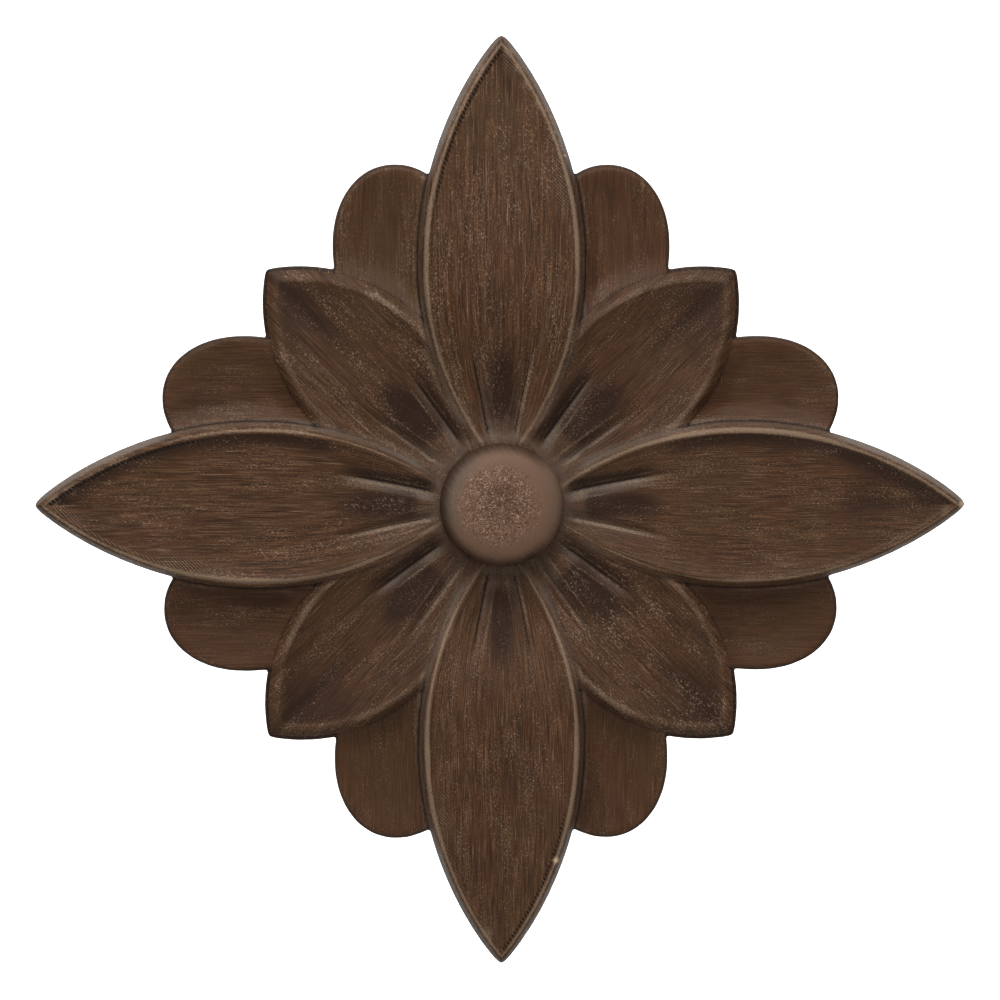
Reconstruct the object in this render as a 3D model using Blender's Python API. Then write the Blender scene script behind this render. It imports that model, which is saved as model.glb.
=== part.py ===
"""Carved wall medallion: a four-pointed rosette in one piece, with a flat back for the wall.

The front is a relief over the plan of the rosette. Eight low lobes lie underneath, four
diagonal petals lie over them, four large petals lie over those, and a round boss covers the
middle. One eighth of the front is shaped by the functions below, mirrored round the centre,
and given straight sides and a back.

The plan is drawn in millimetres, x to the right and y up, and the relief counts from the back.
In the scene the back lies on the plane y = 0 with its centre at the origin, the front faces -Y
and one large petal points up.
"""

import math
from dataclasses import dataclass

import bmesh
import bpy
import numpy as np
from mathutils import Vector
from mathutils.geometry import delaunay_2d_cdt

MM = 0.001
ROOT_TWO = math.sqrt(2.0)
EIGHTH_TURN = math.pi / 4

EDGE_HEIGHT = 7.0  # from the back to the front edge of a lobe
NOTCH_SHARPNESS = 1.4  # per millimetre, which rounds the notches between the leaves
BOSS_RADIUS = 20.0
BOSS_FOOT = 10.0
BOSS_TOP = 19.0
BOSS_SQUARENESS = 3.1  # 2 is a half ball, more is flatter on top and steeper at the foot
BOSS_COVE = 4.5  # plan width over which the petals rise to the boss
BOSS_COVE_LEVEL = 10.3
FOOT_CUT_RADIUS = 20.2
FOOT_CUT_WIDTH = 0.8
FOOT_CUT_DEPTH = 0.35

LOBE_CENTRE = (83.1, 34.1)
LOBE_HALF_SIZE = (26.2, 20.2)
LOBE_SQUARENESS = 2.12
LOBE_HOLLOW = 2.5  # how far the middle lies under the shoulder of the edge
LOBE_ROUNDING = 2.6
LOBE_ROUNDING_WIDTH = 2.8
LOBE_BLEND = 3.0  # per millimetre, which softens the shoulder of the edge

RIM_STEP_WIDTH = 0.8
RIM_ROUND = 2.2  # per millimetre, which rounds the crest of a rim
ARRIS = 0.3  # plan distance outside the crest where a wall begins
TIP_VALLEY_POWER = 1.3  # of the hollow near the tip, where it turns into a valley

BOSS_RINGS = (6.5, 12.0, 16.0, 18.6, 19.8, BOSS_RADIUS, 20.6, 22.4, BOSS_RADIUS + BOSS_COVE)
RIM_ROWS = (0.2, -0.9, -1.7, -4.2)  # plan distances outside the crest of a rim
FLARE_ROWS = (1.4, 3.4)  # plan distances outside the foot of a wall
LARGE_ROW_PITCH = 5.0  # spacing of the points along a rim
DIAGONAL_ROW_PITCH = 4.6
GOUGE_ROW_PITCH = 4.5
OPEN_PITCH = 7.0  # spacing of the points where the surface is calm
LARGE_AXIS_STEPS = 20
DIAGONAL_AXIS_STEPS = 13
LOBE_FROM = 13.3  # degrees from the large petal's axis, where the edge passes to the lobe
LOBE_TO = 35.9  # degrees, where the edge passes to the diagonal petal
LOBE_EDGE_STEPS = 22
LOBE_RINGS = (0.95, 0.86)  # shares of the lobe's outline, over its rounded edge
DIAGONAL_EDGE_STEPS = 5


def ease(value, start, end):
    """0 before start, 1 after end, and a smooth rise between them."""
    share = np.clip((value - start) / (end - start), 0.0, 1.0)
    return share * share * (3.0 - 2.0 * share)


@dataclass(frozen=True)
class Gouge:
    """V-shaped cut beside a petal's axis, which starts at the boss and slants away from the axis."""

    begins: tuple  # place along the axis and distance from it
    slant: float
    deepens: tuple
    fades: tuple
    depth: float
    inner_width: float
    outer_width: float

    def line(self, along):
        """Distance of the cut's bottom from the petal's axis."""
        return self.begins[1] + self.slant * (along - self.begins[0])

    def cut(self, along, across):
        """How far the cut lowers the dish."""
        side = across - self.line(along)
        ramp = np.maximum(1.0 + side / self.inner_width, 0.0)
        hollow = np.maximum(1.0 - side / self.outer_width, 0.0) ** 2
        strength = ease(along, *self.deepens) * (1.0 - ease(along, *self.fades))
        return self.depth * np.minimum(ramp, hollow) * strength


@dataclass(frozen=True)
class Petal:
    """A pointed petal along its own axis: a dish with a raised rim, and walls that flare out."""

    widest_at: float
    half_width: float
    outer_radius: float  # of the rim in plan, from its widest place to the tip
    inner_radius: float  # of the rim in plan, from its widest place to the boss
    edge_offset: float  # plan distance from the rim to the edge of the medallion
    tip_rounding: float  # degrees
    crest_at_boss: float
    crest_at_top: float
    crest_at_tip: float
    crest_rise: tuple
    tip_fall: float
    dish_depth: float
    dish_taper: float
    dish_fullness: float
    valley_from: tuple
    rim_width: float
    rim_widening: float
    rim_step: float
    foot_at: float  # plan distance from the crest to the foot of the wall
    foot_drop: tuple  # share of the rise that the wall takes, by the boss and by the tip
    flare_width: float
    gouge: Gouge

    def arc(self, along):
        """Radius and centre height of the rim's arc at a place along the petal."""
        radius = np.where(along > self.widest_at, self.outer_radius, self.inner_radius)
        return radius, self.half_width - radius

    def outside(self, along, across):
        """Plan distance outside the crest of the rim, negative inside it."""
        radius, centre = self.arc(along)
        return np.hypot(along - self.widest_at, across - centre) - radius

    def crest_width(self, along):
        """Distance of the rim's crest from the axis."""
        radius, centre = self.arc(along)
        root = np.sqrt(np.maximum(radius**2 - (along - self.widest_at) ** 2, 0.0))
        return np.maximum(centre + root, 0.0)

    def tip(self):
        """Place along the axis where the two crests meet."""
        centre = self.half_width - self.outer_radius
        return self.widest_at + math.sqrt(self.outer_radius**2 - centre**2)

    def crest(self, along):
        """Height of the rim."""
        rise = (self.crest_at_top - self.crest_at_boss) * ease(along, *self.crest_rise)
        done = np.clip((along - self.widest_at) / (self.tip() - self.widest_at), 0.0, 1.2)
        return self.crest_at_boss + rise - (self.crest_at_top - self.crest_at_tip) * done**self.tip_fall

    def rim_inner(self, along):
        """Plan width of the rim's band inside its crest."""
        return self.rim_width + self.rim_widening * ease(along, self.widest_at + 6.0, self.tip() - 8.0)

    def dish(self, along, across):
        """Height inside the rim."""
        inward = np.maximum(-self.outside(along, across), 0.0)
        depth = self.dish_depth * (self.crest_width(along) / self.half_width) ** self.dish_taper
        step = np.minimum(self.rim_step, depth)
        past_band = inward - self.rim_inner(along)
        open_part = np.maximum(past_band - RIM_STEP_WIDTH, 0.0)
        share = across / np.maximum(across + open_part, 0.001)
        to_valley = ease(along, *self.valley_from)
        power = self.dish_fullness + (TIP_VALLEY_POWER - self.dish_fullness) * to_valley
        hollow = (depth - step) * (1.0 - share**power)
        fall = step * ease(past_band, 0.0, RIM_STEP_WIDTH)
        return self.crest(along) - fall - hollow - self.gouge.cut(along, across)

    def over(self, along, across, under):
        """Lays the petal over a lower surface, with its wall flaring out into it."""
        outward = self.outside(along, across)
        by_boss, by_tip = self.foot_drop
        drop = by_boss + (by_tip - by_boss) * ease(along, self.tip() - 46.0, self.tip() - 24.0)
        rise = np.maximum(self.crest(along) - under, 0.0)
        wall = 1.0 - drop * (np.maximum(outward, -3.0) - ARRIS) / (self.foot_at - ARRIS)
        beyond = np.clip((outward - self.foot_at) / self.flare_width, 0.0, 1.0)
        share = np.where(outward < self.foot_at, wall, (1.0 - drop) * (1.0 - beyond) ** 1.7)
        sharp = RIM_ROUND * np.maximum(rise, 1.0)
        loss = np.log1p(np.exp(np.clip(sharp * (1.0 - share), -30.0, 30.0))) / sharp
        inside = self.dish(along, across) - rise * loss
        return np.where(outward < 0.0, inside, under + rise * np.maximum(1.0 - loss, 0.0))

    def edge_reach(self, angle):
        """Radius from the centre to the petal's outer edge, by angle from the petal's axis."""
        bent = np.hypot(angle, math.radians(self.tip_rounding))
        centre = self.half_width - self.outer_radius
        towards = self.widest_at * np.cos(bent) + centre * np.sin(bent)
        radius = self.outer_radius + self.edge_offset
        inside = radius**2 - self.widest_at**2 - centre**2 + towards**2
        return towards + np.sqrt(np.maximum(inside, 0.0))

    def rim_row(self, offset, pitch):
        """Points at one plan distance outside the crest, from the boss to the tip."""
        turn_in = math.asin((self.widest_at - BOSS_RADIUS) / self.inner_radius)
        turn_out = math.asin((self.tip() + 2.0 - self.widest_at) / self.outer_radius)
        arcs = ((-turn_in, 0.0, self.inner_radius), (0.0, turn_out, self.outer_radius))
        for first, last, radius in arcs:
            count = round((last - first) * radius / pitch)
            for turn in np.linspace(first, last, count, endpoint=False):
                reach = radius + offset
                along = self.widest_at + reach * math.sin(turn)
                yield along, self.half_width - radius + reach * math.cos(turn)


LARGE = Petal(
    widest_at=78.0,
    half_width=24.3,
    outer_radius=114.0,
    inner_radius=101.0,
    edge_offset=2.4,
    tip_rounding=0.69,
    crest_at_boss=9.7,
    crest_at_top=16.9,
    crest_at_tip=12.6,
    crest_rise=(28.0, 68.0),
    tip_fall=1.5,
    dish_depth=1.8,
    dish_taper=0.45,
    dish_fullness=4.6,
    valley_from=(92.0, 118.0),
    rim_width=0.9,
    rim_widening=0.6,
    rim_step=0.45,
    foot_at=2.7,
    foot_drop=(0.7, 0.88),
    flare_width=6.0,
    gouge=Gouge((24.0, 4.6), 0.2, (19.0, 25.0), (42.0, 58.0), 1.5, 3.3, 6.0),
)

DIAGONAL = Petal(
    widest_at=59.5,
    half_width=21.6,
    outer_radius=54.0,
    inner_radius=60.0,
    edge_offset=3.6,
    tip_rounding=0.4,
    crest_at_boss=8.8,
    crest_at_top=12.9,
    crest_at_tip=10.2,
    crest_rise=(24.0, 64.0),
    tip_fall=2.0,
    dish_depth=3.4,
    dish_taper=1.3,
    dish_fullness=2.1,
    valley_from=(56.0, 88.0),
    rim_width=1.2,
    rim_widening=0.0,
    rim_step=0.4,
    foot_at=2.5,
    foot_drop=(0.5, 0.5),
    flare_width=7.0,
    gouge=Gouge((26.0, 5.2), 0.16, (20.0, 27.0), (42.0, 55.0), 1.3, 3.0, 4.6),
)


def lobe_ring(x, y):
    """1 on the lobe's outline in plan, less inside it and more outside."""
    off_x = np.abs(x - LOBE_CENTRE[0]) / LOBE_HALF_SIZE[0]
    off_y = np.abs(y - LOBE_CENTRE[1]) / LOBE_HALF_SIZE[1]
    return (off_x**LOBE_SQUARENESS + off_y**LOBE_SQUARENESS) ** (1.0 / LOBE_SQUARENESS)


def lobe_reach(angle):
    """Radius from the centre to the lobe's outer edge, found by halving."""
    near = np.full_like(angle, math.hypot(*LOBE_CENTRE))
    far = near + 2.0 * LOBE_HALF_SIZE[0]
    for _ in range(40):
        middle = (near + far) / 2.0
        inside = lobe_ring(middle * np.cos(angle), middle * np.sin(angle)) < 1.0
        near = np.where(inside, middle, near)
        far = np.where(inside, far, middle)
    return np.where(lobe_ring(near * np.cos(angle), near * np.sin(angle)) < 1.01, near, 0.0)


def edge_reach(angle):
    """Radius from the centre to the medallion's edge, for angles of the first eighth."""
    reaches = (
        LARGE.edge_reach(angle),
        lobe_reach(angle),
        DIAGONAL.edge_reach(EIGHTH_TURN - angle),
    )
    largest = np.max(reaches, axis=0)
    total = sum(np.exp(NOTCH_SHARPNESS * (r - largest)) for r in reaches)
    return largest + np.log(total) / NOTCH_SHARPNESS


def lobe_height(x, y):
    """The lobe's surface: a shallow bowl, rounded over at its outer edge."""
    ring = lobe_ring(x, y)
    surface = EDGE_HEIGHT + LOBE_ROUNDING - LOBE_HOLLOW * (1.0 - np.minimum(ring, 1.0) ** 2)
    inwards = (1.0 - ring) * LOBE_HALF_SIZE[1]
    turn = np.clip(1.0 - inwards / LOBE_ROUNDING_WIDTH, 0.0, 1.0)
    outer_side = ease(x + y, sum(LOBE_CENTRE) - 12.0, sum(LOBE_CENTRE) + 4.0)
    rounded = EDGE_HEIGHT + LOBE_ROUNDING * (1.0 - outer_side * (1.0 - np.sqrt(1.0 - turn**2)))
    return -np.logaddexp(-LOBE_BLEND * surface, -LOBE_BLEND * rounded) / LOBE_BLEND


def relief(x, y):
    """Height of the front above the back, at points of the first eighth of the plan."""
    radius = np.hypot(x, y)
    petals = DIAGONAL.over((x + y) / ROOT_TWO, np.abs(x - y) / ROOT_TWO, lobe_height(x, y))
    petals = LARGE.over(x, y, petals)
    cove = np.clip(1.0 - (radius - BOSS_RADIUS) / BOSS_COVE, 0.0, 1.0) ** 2
    petals = petals + np.maximum(BOSS_COVE_LEVEL - petals, 0.0) * cove
    dome = np.clip(1.0 - (radius / BOSS_RADIUS) ** BOSS_SQUARENESS, 0.0, 1.0)
    boss = BOSS_FOOT + (BOSS_TOP - BOSS_FOOT) * dome ** (1.0 / BOSS_SQUARENESS)
    height = np.where(radius < BOSS_RADIUS, boss, petals)
    gap = np.abs(radius - FOOT_CUT_RADIUS) / FOOT_CUT_WIDTH
    return height - FOOT_CUT_DEPTH * np.clip(1.0 - gap, 0.0, 1.0)


class PlanPoints:
    """Points of the first eighth of the plan, each kept clear of the ones before it."""

    def __init__(self):
        self.points = np.empty((0, 2))

    def add(self, x, y, clearance):
        if len(self.points):
            gaps = np.hypot(self.points[:, 0] - x, self.points[:, 1] - y)
            if gaps.min() < clearance:
                return
        self.points = np.vstack([self.points, (x, y)])

    def add_inner(self, x, y, clearance, margin):
        """Adds a point only where it lies inside the eighth, clear of its borders."""
        off_diagonal = (x - y) / ROOT_TWO
        if y < margin or off_diagonal < margin:
            return
        if math.hypot(x, y) + margin < edge_reach(np.array([math.atan2(y, x)]))[0]:
            self.add(x, y, clearance)


def edge_angles():
    """Angles of the edge's points: beside each rim point, and evenly round the lobe."""
    lobe_from, lobe_to = math.radians(LOBE_FROM), math.radians(LOBE_TO)
    beside = [math.atan2(y, x) for x, y in LARGE.rim_row(LARGE.edge_offset, LARGE_ROW_PITCH)]
    angles = [0.0] + sorted(a for a in beside if 0.0 < a < lobe_from - 0.01)
    angles += list(np.linspace(lobe_from, lobe_to, LOBE_EDGE_STEPS))
    angles += list(np.linspace(lobe_to, EIGHTH_TURN, DIAGONAL_EDGE_STEPS + 1))[1:]
    return np.array(angles)


def axis_points(petal, steps):
    """Places along a petal's axis: the rings of the boss, even steps, and the tip of the dish."""
    first = BOSS_RINGS[-1] + 4.0
    even = list(np.linspace(first, petal.tip() - 7.0, steps))
    return [0.0, *BOSS_RINGS, *even, petal.tip() - 2.0, petal.tip()]


def border_of_eighth():
    """The eighth's border: out along the large petal, round the edge, back down the diagonal."""
    angles = edge_angles()
    reach = edge_reach(angles)
    border = [(along, 0.0) for along in axis_points(LARGE, LARGE_AXIS_STEPS)]
    border += [(r * math.cos(a), r * math.sin(a)) for r, a in zip(reach[:-1], angles[:-1])]
    corner = reach[-1] / ROOT_TWO
    border.append((corner, corner))
    back = reversed(axis_points(DIAGONAL, DIAGONAL_AXIS_STEPS)[1:])
    border += [(along / ROOT_TWO, along / ROOT_TWO) for along in back]
    return border


def from_diagonal(along, across):
    """Plan point of the first eighth for a place on the diagonal petal."""
    return (along + across) / ROOT_TWO, (along - across) / ROOT_TWO


def add_rim_rows(plan):
    """Rows of points along the crests, the steps inside them and the feet of the walls."""
    clear_of_boss = BOSS_RINGS[-1] + 0.8
    flare = [LARGE.foot_at + past for past in FLARE_ROWS]
    for offset in (LARGE.foot_at, *RIM_ROWS, *flare):
        for x, y in LARGE.rim_row(offset, LARGE_ROW_PITCH):
            if math.hypot(x, y) > clear_of_boss:
                plan.add_inner(x, y, 0.75, 0.7)
    flare = [DIAGONAL.foot_at + past for past in FLARE_ROWS]
    for offset in (DIAGONAL.foot_at, *RIM_ROWS, *flare):
        for along, across in DIAGONAL.rim_row(offset, DIAGONAL_ROW_PITCH):
            x, y = from_diagonal(along, across)
            if LARGE.outside(x, y) > LARGE.foot_at + 0.9:
                plan.add_inner(x, y, 0.9, 0.7)


def add_gouge_rows(plan):
    """Rows of points along the bottoms and both banks of the gouges."""
    for petal, place in ((LARGE, lambda a, b: (a, b)), (DIAGONAL, from_diagonal)):
        gouge = petal.gouge
        for side in (0.0, -gouge.inner_width, 0.45 * gouge.outer_width):
            for along in np.arange(BOSS_RINGS[-1] + 2.0, gouge.fades[1], GOUGE_ROW_PITCH):
                x, y = place(along, gouge.line(along) + side)
                if petal is LARGE or LARGE.outside(x, y) > LARGE.foot_at + 0.9:
                    plan.add_inner(x, y, 1.2, 0.9)


def add_calm_points(plan):
    """Points round the lobe's shoulder, and an even net over what is still open."""
    angles = np.radians(np.linspace(LOBE_FROM, LOBE_TO, LOBE_EDGE_STEPS))
    reaches = lobe_reach(angles)
    for share in LOBE_RINGS:
        for angle, reach in zip(angles, reaches):
            x = LOBE_CENTRE[0] + share * (reach * math.cos(angle) - LOBE_CENTRE[0])
            y = LOBE_CENTRE[1] + share * (reach * math.sin(angle) - LOBE_CENTRE[1])
            plan.add_inner(x, y, 0.8, 0.3)
    row_height = OPEN_PITCH * math.sqrt(0.75)
    across = LARGE.tip() / ROOT_TWO
    for row in range(int(across / row_height)):
        for column in range(int(LARGE.tip() / OPEN_PITCH)):
            x = OPEN_PITCH * (column + 0.5 * (row % 2))
            plan.add_inner(x, row_height * (row + 0.6), 0.5 * OPEN_PITCH, 0.4 * OPEN_PITCH)


def plan_points():
    """All points of the eighth, with the border's points first, and how many those are."""
    border = border_of_eighth()
    plan = PlanPoints()
    for x, y in border:
        plan.add(x, y, 0.01)
    for radius in BOSS_RINGS:
        for angle in np.linspace(0.0, EIGHTH_TURN, 8)[1:-1]:
            plan.add_inner(radius * math.cos(angle), radius * math.sin(angle), 0.15, 0.1)
    add_rim_rows(plan)
    add_gouge_rows(plan)
    add_calm_points(plan)
    return plan.points, len(border)


def eighth_of_front():
    """Triangles of one eighth of the front, as plan points with their heights."""
    points, border_count = plan_points()
    border = [(i, (i + 1) % border_count) for i in range(border_count)]
    flat = [Vector(p) for p in points]
    placed, _, triangles, _, _, _ = delaunay_2d_cdt(flat, border, [], 1, 0.0001)
    plan = np.array([tuple(p) for p in placed])
    height = relief(plan[:, 0], plan[:, 1])
    return plan, height, triangles


def add_eighth(mesh, plan, height, triangles, swap, flip_x, flip_y):
    """Adds one mirrored copy of the eighth, with its faces kept turned to the front."""
    x, y = (plan[:, 1], plan[:, 0]) if swap else (plan[:, 0], plan[:, 1])
    x = -x if flip_x else x
    y = -y if flip_y else y
    corners = [mesh.verts.new(Vector((a, -h, b)) * MM) for a, b, h in zip(x, y, height)]
    mirrored = (swap + flip_x + flip_y) % 2 == 1
    for triangle in triangles:
        order = reversed(triangle) if mirrored else triangle
        mesh.faces.new([corners[i] for i in order])


def build_medallion():
    """Builds the rosette: eight eighths of front, sides back to the wall, and a flat back."""
    mesh = bmesh.new()
    eighth = eighth_of_front()
    for swap in (0, 1):
        for flip_x in (0, 1):
            for flip_y in (0, 1):
                add_eighth(mesh, *eighth, swap, flip_x, flip_y)
    bmesh.ops.remove_doubles(mesh, verts=mesh.verts, dist=0.00001)
    rim = [edge for edge in mesh.edges if edge.is_boundary]
    sides = bmesh.ops.extrude_edge_only(mesh, edges=rim)["geom"]
    back = [item for item in sides if isinstance(item, bmesh.types.BMVert)]
    for corner in back:
        corner.co.y = 0.0
    back_edges = [edge for edge in mesh.edges if edge.is_boundary]
    bmesh.ops.contextual_create(mesh, geom=back_edges)
    bmesh.ops.recalc_face_normals(mesh, faces=mesh.faces)
    data = bpy.data.meshes.new("medallion")
    mesh.to_mesh(data)
    mesh.free()
    data.shade_smooth()
    data.set_sharp_from_angle(angle=math.radians(35.0))
    medallion = bpy.data.objects.new("medallion", data)
    bpy.context.scene.collection.objects.link(medallion)
    return medallion


def stained_wood():
    """Dark brown stained wood, brushed and left nearly matt."""
    material = bpy.data.materials.new("stained_wood")
    material.use_nodes = True
    shader = material.node_tree.nodes["Principled BSDF"]
    shader.inputs["Base Color"].default_value = (0.075, 0.040, 0.023, 1.0)
    shader.inputs["Roughness"].default_value = 0.6
    shader.inputs["Metallic"].default_value = 0.0
    return material


def main():
    """Clears the scene and builds the medallion."""
    for thing in list(bpy.data.objects):
        bpy.data.objects.remove(thing)
    medallion = build_medallion()
    medallion.data.materials.append(stained_wood())


if __name__ == "__main__":
    main()
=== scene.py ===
"""Looks of the carved wall medallion: one carved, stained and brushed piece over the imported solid.

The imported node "medallion" holds the outline and the main forms. This script carves the same
rosette at a finer pitch, with rounded rims, gouges, wear and chips, and lets it stand for that
node. The carving's sizes are millimetres on the plan of the rosette, x to the right and y up,
with heights counted from the flat back. In the frame the back lies on y = 0 and the front faces -Y.
"""

from __future__ import annotations

import logging
import math
from dataclasses import dataclass, field
from enum import IntEnum
from typing import Any

import bpy
import numpy as np
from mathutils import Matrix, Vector
from mathutils.geometry import delaunay_2d_cdt

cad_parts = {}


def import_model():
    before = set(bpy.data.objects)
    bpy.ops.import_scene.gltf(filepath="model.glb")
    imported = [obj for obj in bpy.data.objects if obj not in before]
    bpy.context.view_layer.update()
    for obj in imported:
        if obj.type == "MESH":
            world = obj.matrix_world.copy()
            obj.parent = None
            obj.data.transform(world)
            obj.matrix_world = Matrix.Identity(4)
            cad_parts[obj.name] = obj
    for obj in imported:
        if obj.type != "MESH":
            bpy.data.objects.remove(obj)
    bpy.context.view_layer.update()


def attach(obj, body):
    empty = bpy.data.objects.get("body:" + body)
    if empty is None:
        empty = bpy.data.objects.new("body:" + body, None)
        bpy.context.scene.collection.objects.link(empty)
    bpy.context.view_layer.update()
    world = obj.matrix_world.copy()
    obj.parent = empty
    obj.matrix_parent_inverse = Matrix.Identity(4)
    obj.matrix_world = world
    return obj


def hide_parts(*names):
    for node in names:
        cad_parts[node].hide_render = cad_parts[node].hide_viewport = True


log = logging.getLogger("medallion")

Array = np.ndarray
MM = 0.001
ROOT_TWO = math.sqrt(2.0)


def ease(value: Array, start: float, end: float) -> Array:
    """Rises smoothly from 0 to 1.

    Args:
        value: Where on the rise to look.
        start: Value up to which the result is 0.
        end: Value from which the result is 1.

    Returns:
        The share of the rise that is done.
    """
    share = np.clip((value - start) / (end - start), 0.0, 1.0)
    return share * share * (3.0 - 2.0 * share)


def ease_between(value: Array, start: Array, end: Array) -> Array:
    """The same rise where its start and end vary from place to place."""
    share = np.clip((value - start) / (end - start), 0.0, 1.0)
    return share * share * (3.0 - 2.0 * share)


def bell(value: Array, centre: float, width: float) -> Array:
    """Smooth hump of height 1 round a centre, gone by about twice the width."""
    return np.exp(-(((value - centre) / width) ** 2))


def plateau(value: Array, centre: float, width: float) -> Array:
    """Flat hump of height 1 round a centre, with fairly sharp sides at about the width."""
    return np.exp(-(((value - centre) / width) ** 4))


class Layer(IntEnum):
    """Leaf or part of the front that lies on top at a place, from the lowest to the highest."""

    LOBE = 0
    DIAGONAL = 1
    LARGE = 2
    BOSS = 3


@dataclass(frozen=True)
class Gouge:
    """V-shaped cut beside a petal's axis, which starts at the boss and slants away from the axis."""

    begins: tuple[float, float]
    slant: float
    deepens: tuple[float, float]
    fades: tuple[float, float]
    depth: float
    inner_width: float
    outer_width: float

    def line(self, along: Array) -> Array:
        """Distance of the cut's bottom from the petal's axis, by place along the axis."""
        return self.begins[1] + self.slant * (along - self.begins[0])

    def strength(self, along: Array) -> Array:
        """Share of the full depth, by place along the axis."""
        return ease(along, *self.deepens) * (1.0 - ease(along, *self.fades))

    def cut(self, along: Array, across: Array) -> Array:
        """Depth of the cut.

        Args:
            along: Place along the petal's axis.
            across: Distance from the axis.

        Returns:
            How far the cut lowers the dish there.
        """
        side = across - self.line(along)
        ramp = np.maximum(1.0 + side / self.inner_width, 0.0)
        hollow = np.maximum(1.0 - side / self.outer_width, 0.0) ** 2
        return self.depth * np.minimum(ramp, hollow) * self.strength(along)


@dataclass(frozen=True)
class Petal:
    """Pointed petal along its own axis: a dish with a raised rim, and walls that flare out below."""

    widest_at: float
    half_width: float
    outer_radius: float
    inner_radius: float
    edge_offset: float
    tip_rounding: float
    crest_at_boss: float
    crest_at_top: float
    crest_at_tip: float
    crest_rise: tuple[float, float]
    tip_fall: float
    dish_depth: float
    dish_taper: float
    dish_fullness: float
    valley_from: tuple[float, float]
    rim_width: float
    rim_widening: float
    rim_step: float
    foot_at: float
    foot_drop: tuple[float, float]
    flare_width: float
    gouge: Gouge
    rim_step_width: float = 0.8
    rim_round: float = 2.2

    def arc(self, along: Array) -> tuple[Array, Array]:
        """Radius and centre height of the rim's arc at a place along the petal."""
        radius = np.where(along > self.widest_at, self.outer_radius, self.inner_radius)
        return radius, self.half_width - radius

    def outside(self, along: Array, across: Array) -> Array:
        """Plan distance outside the crest of the rim, negative inside it."""
        radius, centre = self.arc(along)
        return np.hypot(along - self.widest_at, across - centre) - radius

    def crest_width(self, along: Array) -> Array:
        """Distance of the rim's crest from the axis.

        Args:
            along: Place along the petal's axis.

        Returns:
            The distance, 0 beyond the tip.
        """
        radius, centre = self.arc(along)
        root = np.sqrt(np.maximum(radius**2 - (along - self.widest_at) ** 2, 0.0))
        return np.maximum(centre + root, 0.0)

    def tip(self) -> float:
        """Place along the axis where the two crests meet."""
        centre = self.half_width - self.outer_radius
        return self.widest_at + math.sqrt(self.outer_radius**2 - centre**2)

    def crest(self, along: Array) -> Array:
        """Height of the rim above the back.

        Args:
            along: Place along the petal's axis.

        Returns:
            The height of the crest.
        """
        rise = (self.crest_at_top - self.crest_at_boss) * ease(along, *self.crest_rise)
        done = np.clip((along - self.widest_at) / (self.tip() - self.widest_at), 0.0, 1.2)
        fall = (self.crest_at_top - self.crest_at_tip) * done**self.tip_fall
        return self.crest_at_boss + rise - fall

    def rim_inner(self, along: Array) -> Array:
        """Plan width of the rim's band inside its crest, wider towards the tip."""
        return self.rim_width + self.rim_widening * ease(along, self.widest_at + 6.0, self.tip() - 8.0)

    def dish(self, along: Array, across: Array) -> Array:
        """Height inside the rim: a narrow band, a small step and the hollow with its gouge.

        Args:
            along: Place along the petal's axis.
            across: Distance from the axis.

        Returns:
            Height above the back.
        """
        inward = np.maximum(-self.outside(along, across), 0.0)
        depth = self.dish_depth * (self.crest_width(along) / self.half_width) ** self.dish_taper
        step = np.minimum(self.rim_step, depth)
        band = self.rim_inner(along)
        foot = band + self.rim_step_width
        open_part = np.maximum(inward - foot, 0.0)
        share = across / np.maximum(across + open_part, 0.001)
        power = self.dish_fullness + (1.3 - self.dish_fullness) * ease(along, *self.valley_from)
        hollow = (depth - step) * (1.0 - share**power)
        fall = step * ease_between(inward, band, foot)
        return self.crest(along) - fall - hollow - self.gouge.cut(along, across)

    def over(self, along: Array, across: Array, under: Array) -> Array:
        """Lays the petal over a lower surface, with its wall flaring out into it.

        Args:
            along: Place along the petal's axis.
            across: Distance from the axis.
            under: Height of the lower surface.

        Returns:
            Height of the two together.
        """
        outward = self.outside(along, across)
        at_boss, at_tip = self.foot_drop
        drop = at_boss + (at_tip - at_boss) * ease(along, self.tip() - 46.0, self.tip() - 24.0)
        rise = np.maximum(self.crest(along) - under, 0.0)
        wall = 1.0 - drop * (np.maximum(outward, -3.0) - 0.3) / (self.foot_at - 0.3)
        beyond = np.clip((outward - self.foot_at) / self.flare_width, 0.0, 1.0)
        share = np.where(outward < self.foot_at, wall, (1.0 - drop) * (1.0 - beyond) ** 1.7)
        sharp = self.rim_round * np.maximum(rise, 1.0)
        loss = np.log1p(np.exp(np.clip(sharp * (1.0 - share), -30.0, 30.0))) / sharp
        wall = under + rise * np.maximum(1.0 - loss, 0.0)
        inside = self.dish(along, across) - rise * loss
        return np.where(outward < 0.0, inside, wall)

    def edge_reach(self, angle: Array) -> Array:
        """Radius from the centre to the petal's outer edge, by angle from the petal's axis.

        Args:
            angle: Angle in radians.

        Returns:
            The radius in millimetres.
        """
        bent = np.hypot(angle, math.radians(self.tip_rounding))
        centre = self.half_width - self.outer_radius
        towards = self.widest_at * np.cos(bent) + centre * np.sin(bent)
        radius = self.outer_radius + self.edge_offset
        inside = radius**2 - self.widest_at**2 - centre**2 + towards**2
        return towards + np.sqrt(np.maximum(inside, 0.0))

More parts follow.
